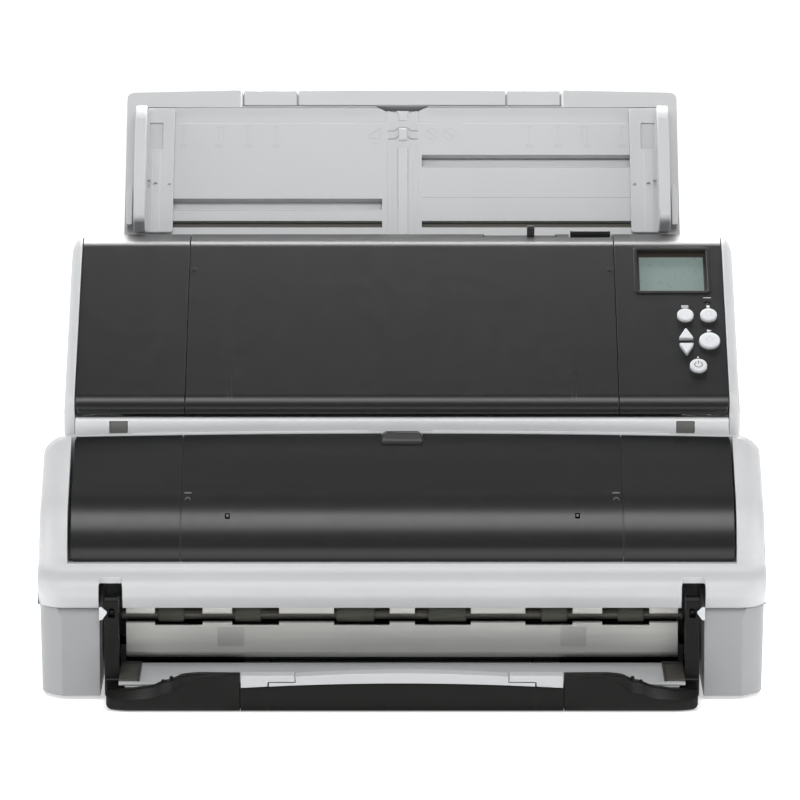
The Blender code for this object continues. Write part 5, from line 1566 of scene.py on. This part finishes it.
# ------------------------------------------------------------------ side guides, formed skins that stand in for the CAD's bars
for side, name in ((-1, "side_guide_left"), (1, "side_guide_right")):
    s = side
    base = outline(name + "_skin", "chute", round_rect(*sorted((s * 133.2, s * 149.6)), 4.0, 87.4, 1.8, 5), 0.4, 2.5)
    cut(base, outline("c", "chute", round_rect(*sorted((s * 140.0, s * 148.0)), 60.0, 77.6, 0.5, 3), -1, 4))
    fine = [outline("c", "chute", disc(s * 143.8, 36.2, 1.3, 20), 1.0, 4),
            outline("c", "chute", rect(*sorted((s * 146.6, s * 148.6)), 33.6, 39.2), 0.9, 4),
            outline("c", "chute", disc(s * 135.6, 35.9, 0.95, 16), 1.2, 4)]
    fin_line = [chute(4.7, 1.0), chute(4.7, 11.6)] + [chute(a, n) for a, n in curved([(5.6, 13.4), (8.5, 15.6), (22, 17.4), (40, 18.5), (58, 18.1), (70, 16.9),
                                                                              (79, 14.2), (84.6, 10.0), (86.4, 6.0)], 4)] + [chute(86.5, 1.0)]
    fin = outline("fin", "side", fin_line, *sorted((s * 149.0, s * 155.6)))
    tidy(fin)
    soften(fin, 0.8, 4, 40)
    pieces = [outline("t", "chute", rect(*sorted((s * 134, s * 146.8)), *((21.2, 25.2) if s < 0 else (53.8, 56.4))), -5.4, 0.8),
              outline("t", "chute", rect(*sorted((s * 134, s * 146.8)), LOW_SLOT[0] + 0.7, LOW_SLOT[1] - 0.7), -2.1, 0.8)]
    for item in pieces:
        soften(item, 0.3, 2)
    soften(base, 0.55, 3, 40)
    fine_cuts(base, fine)
    trims = [outline("rib", "chute", rect(s * x - 0.15, s * x + 0.15, 6, 57.5), 2.3, 2.62) for x in (141.2, 145.6)]
    trims.append(outline("sill", "chute", rect(*sorted((s * 139.8, s * 148.2)), 59.8, 77.8), 0.45, 1.0))
    base = merge(name + "_skin", [base, fin] + pieces + trims)
    flat_shade(base, (0, CN[0], CN[1]))
    done(base, GUIDE, name, "chute_grey", name)
    # the rack that meshes with the pinion, with the CAD's own tooth spacing
    pitch = 2 * math.pi * 12.0 / 16
    line = 39.5 + s * 12.0
    way = -s
    xa, xb = (-147, 9.0) if s < 0 else (-9.0, 147)
    first, last = math.ceil(max(xa + 2, -130) / pitch), math.floor(min(xb - 2, 130) / pitch)
    top = [(xa, line - way * 1.7)]
    for i in range(first, last + 1):
        for dx, up in ((-0.27, -1.7), (-0.10, 1.0), (0.10, 1.0), (0.27, -1.7)):
            top.append(((i + dx) * pitch, line + way * up))
    top.append((xb, line - way * 1.7))
    rack = outline(name + "_rack", "chute", [(xa, line - way * 5.5)] + top + [(xb, line - way * 5.5)], -6.6, -5.5)
    lip_s = (20.6, 28.6) if s < 0 else (49.4, 57.2)
    rack = merge(name + "_rack", [rack, outline("strip", "chute", rect(xa, xb, *lip_s), -5.45, -5.1)])
    soften(rack, 0.12, 1)
    done(rack, CHUTE, name, "chute_grey")
    lock = "guide_lock_" + name.split("_")[-1]
    lever = outline(lock + "_skin", "chute", [(s * 156.5, 6.0), (s * 159.6, 6.0), (s * 160.3, 12.0), (s * 160.3, 27.0), (s * 158.6, 32.8), (s * 157.0, 32.8), (s * 156.5, 30.0)][::s], 2.1, 7.9)
    soften(lever, 0.5, 3)
    done(lever, CHUTE, lock, "black_plastic", lock)


def gear_line(teeth, pitch_r):
    pitch = 2 * math.pi * pitch_r / teeth
    points = []
    for i in range(teeth):
        mid = 2 * math.pi * (i + 0.5) / teeth + math.pi / 2
        for r, half in ((pitch_r - 1.9, 0.27 * pitch), (pitch_r, 0.165 * pitch), (pitch_r + 1.0, 0.09 * pitch)):
            points.append((r * math.cos(mid - half / r), 39.5 + r * math.sin(mid - half / r)))
        for r, half in ((pitch_r + 1.0, 0.09 * pitch), (pitch_r, 0.165 * pitch), (pitch_r - 1.9, 0.27 * pitch)):
            points.append((r * math.cos(mid + half / r), 39.5 + r * math.sin(mid + half / r)))
    return points


pinion = outline("guide_pinion_skin", "chute", [gear_line(16, 12.0), disc(0, 39.5, 2.4, 24)], -6.7, -5.5)
soften(pinion, 0.15, 1)
done(pinion, KEY, "guide_pinion", "key_plastic", "guide_pinion")

# ------------------------------------------------------------------ floor
floor_mesh = bpy.data.meshes.new("studio_floor")
bm = bmesh.new()
bmesh.ops.create_grid(bm, x_segments=8, y_segments=8, size=9.0)
bm.to_mesh(floor_mesh)
bm.free()
floor = new_object("studio_floor", floor_mesh)
floor.location = (0, 0, -0.00005)
FLOOR = material("studio_paper", (0.96, 0.96, 0.96), 0.9, vary=0.0, grain=400.0, bump=0.00001, spec=0.1, rough_vary=0.02)
FLOOR.node_tree.nodes["Principled BSDF"].inputs["Emission Color"].default_value = (1.0, 1.0, 1.0, 1.0)
FLOOR.node_tree.nodes["Principled BSDF"].inputs["Emission Strength"].default_value = 0.42
floor.data.materials.append(FLOOR)
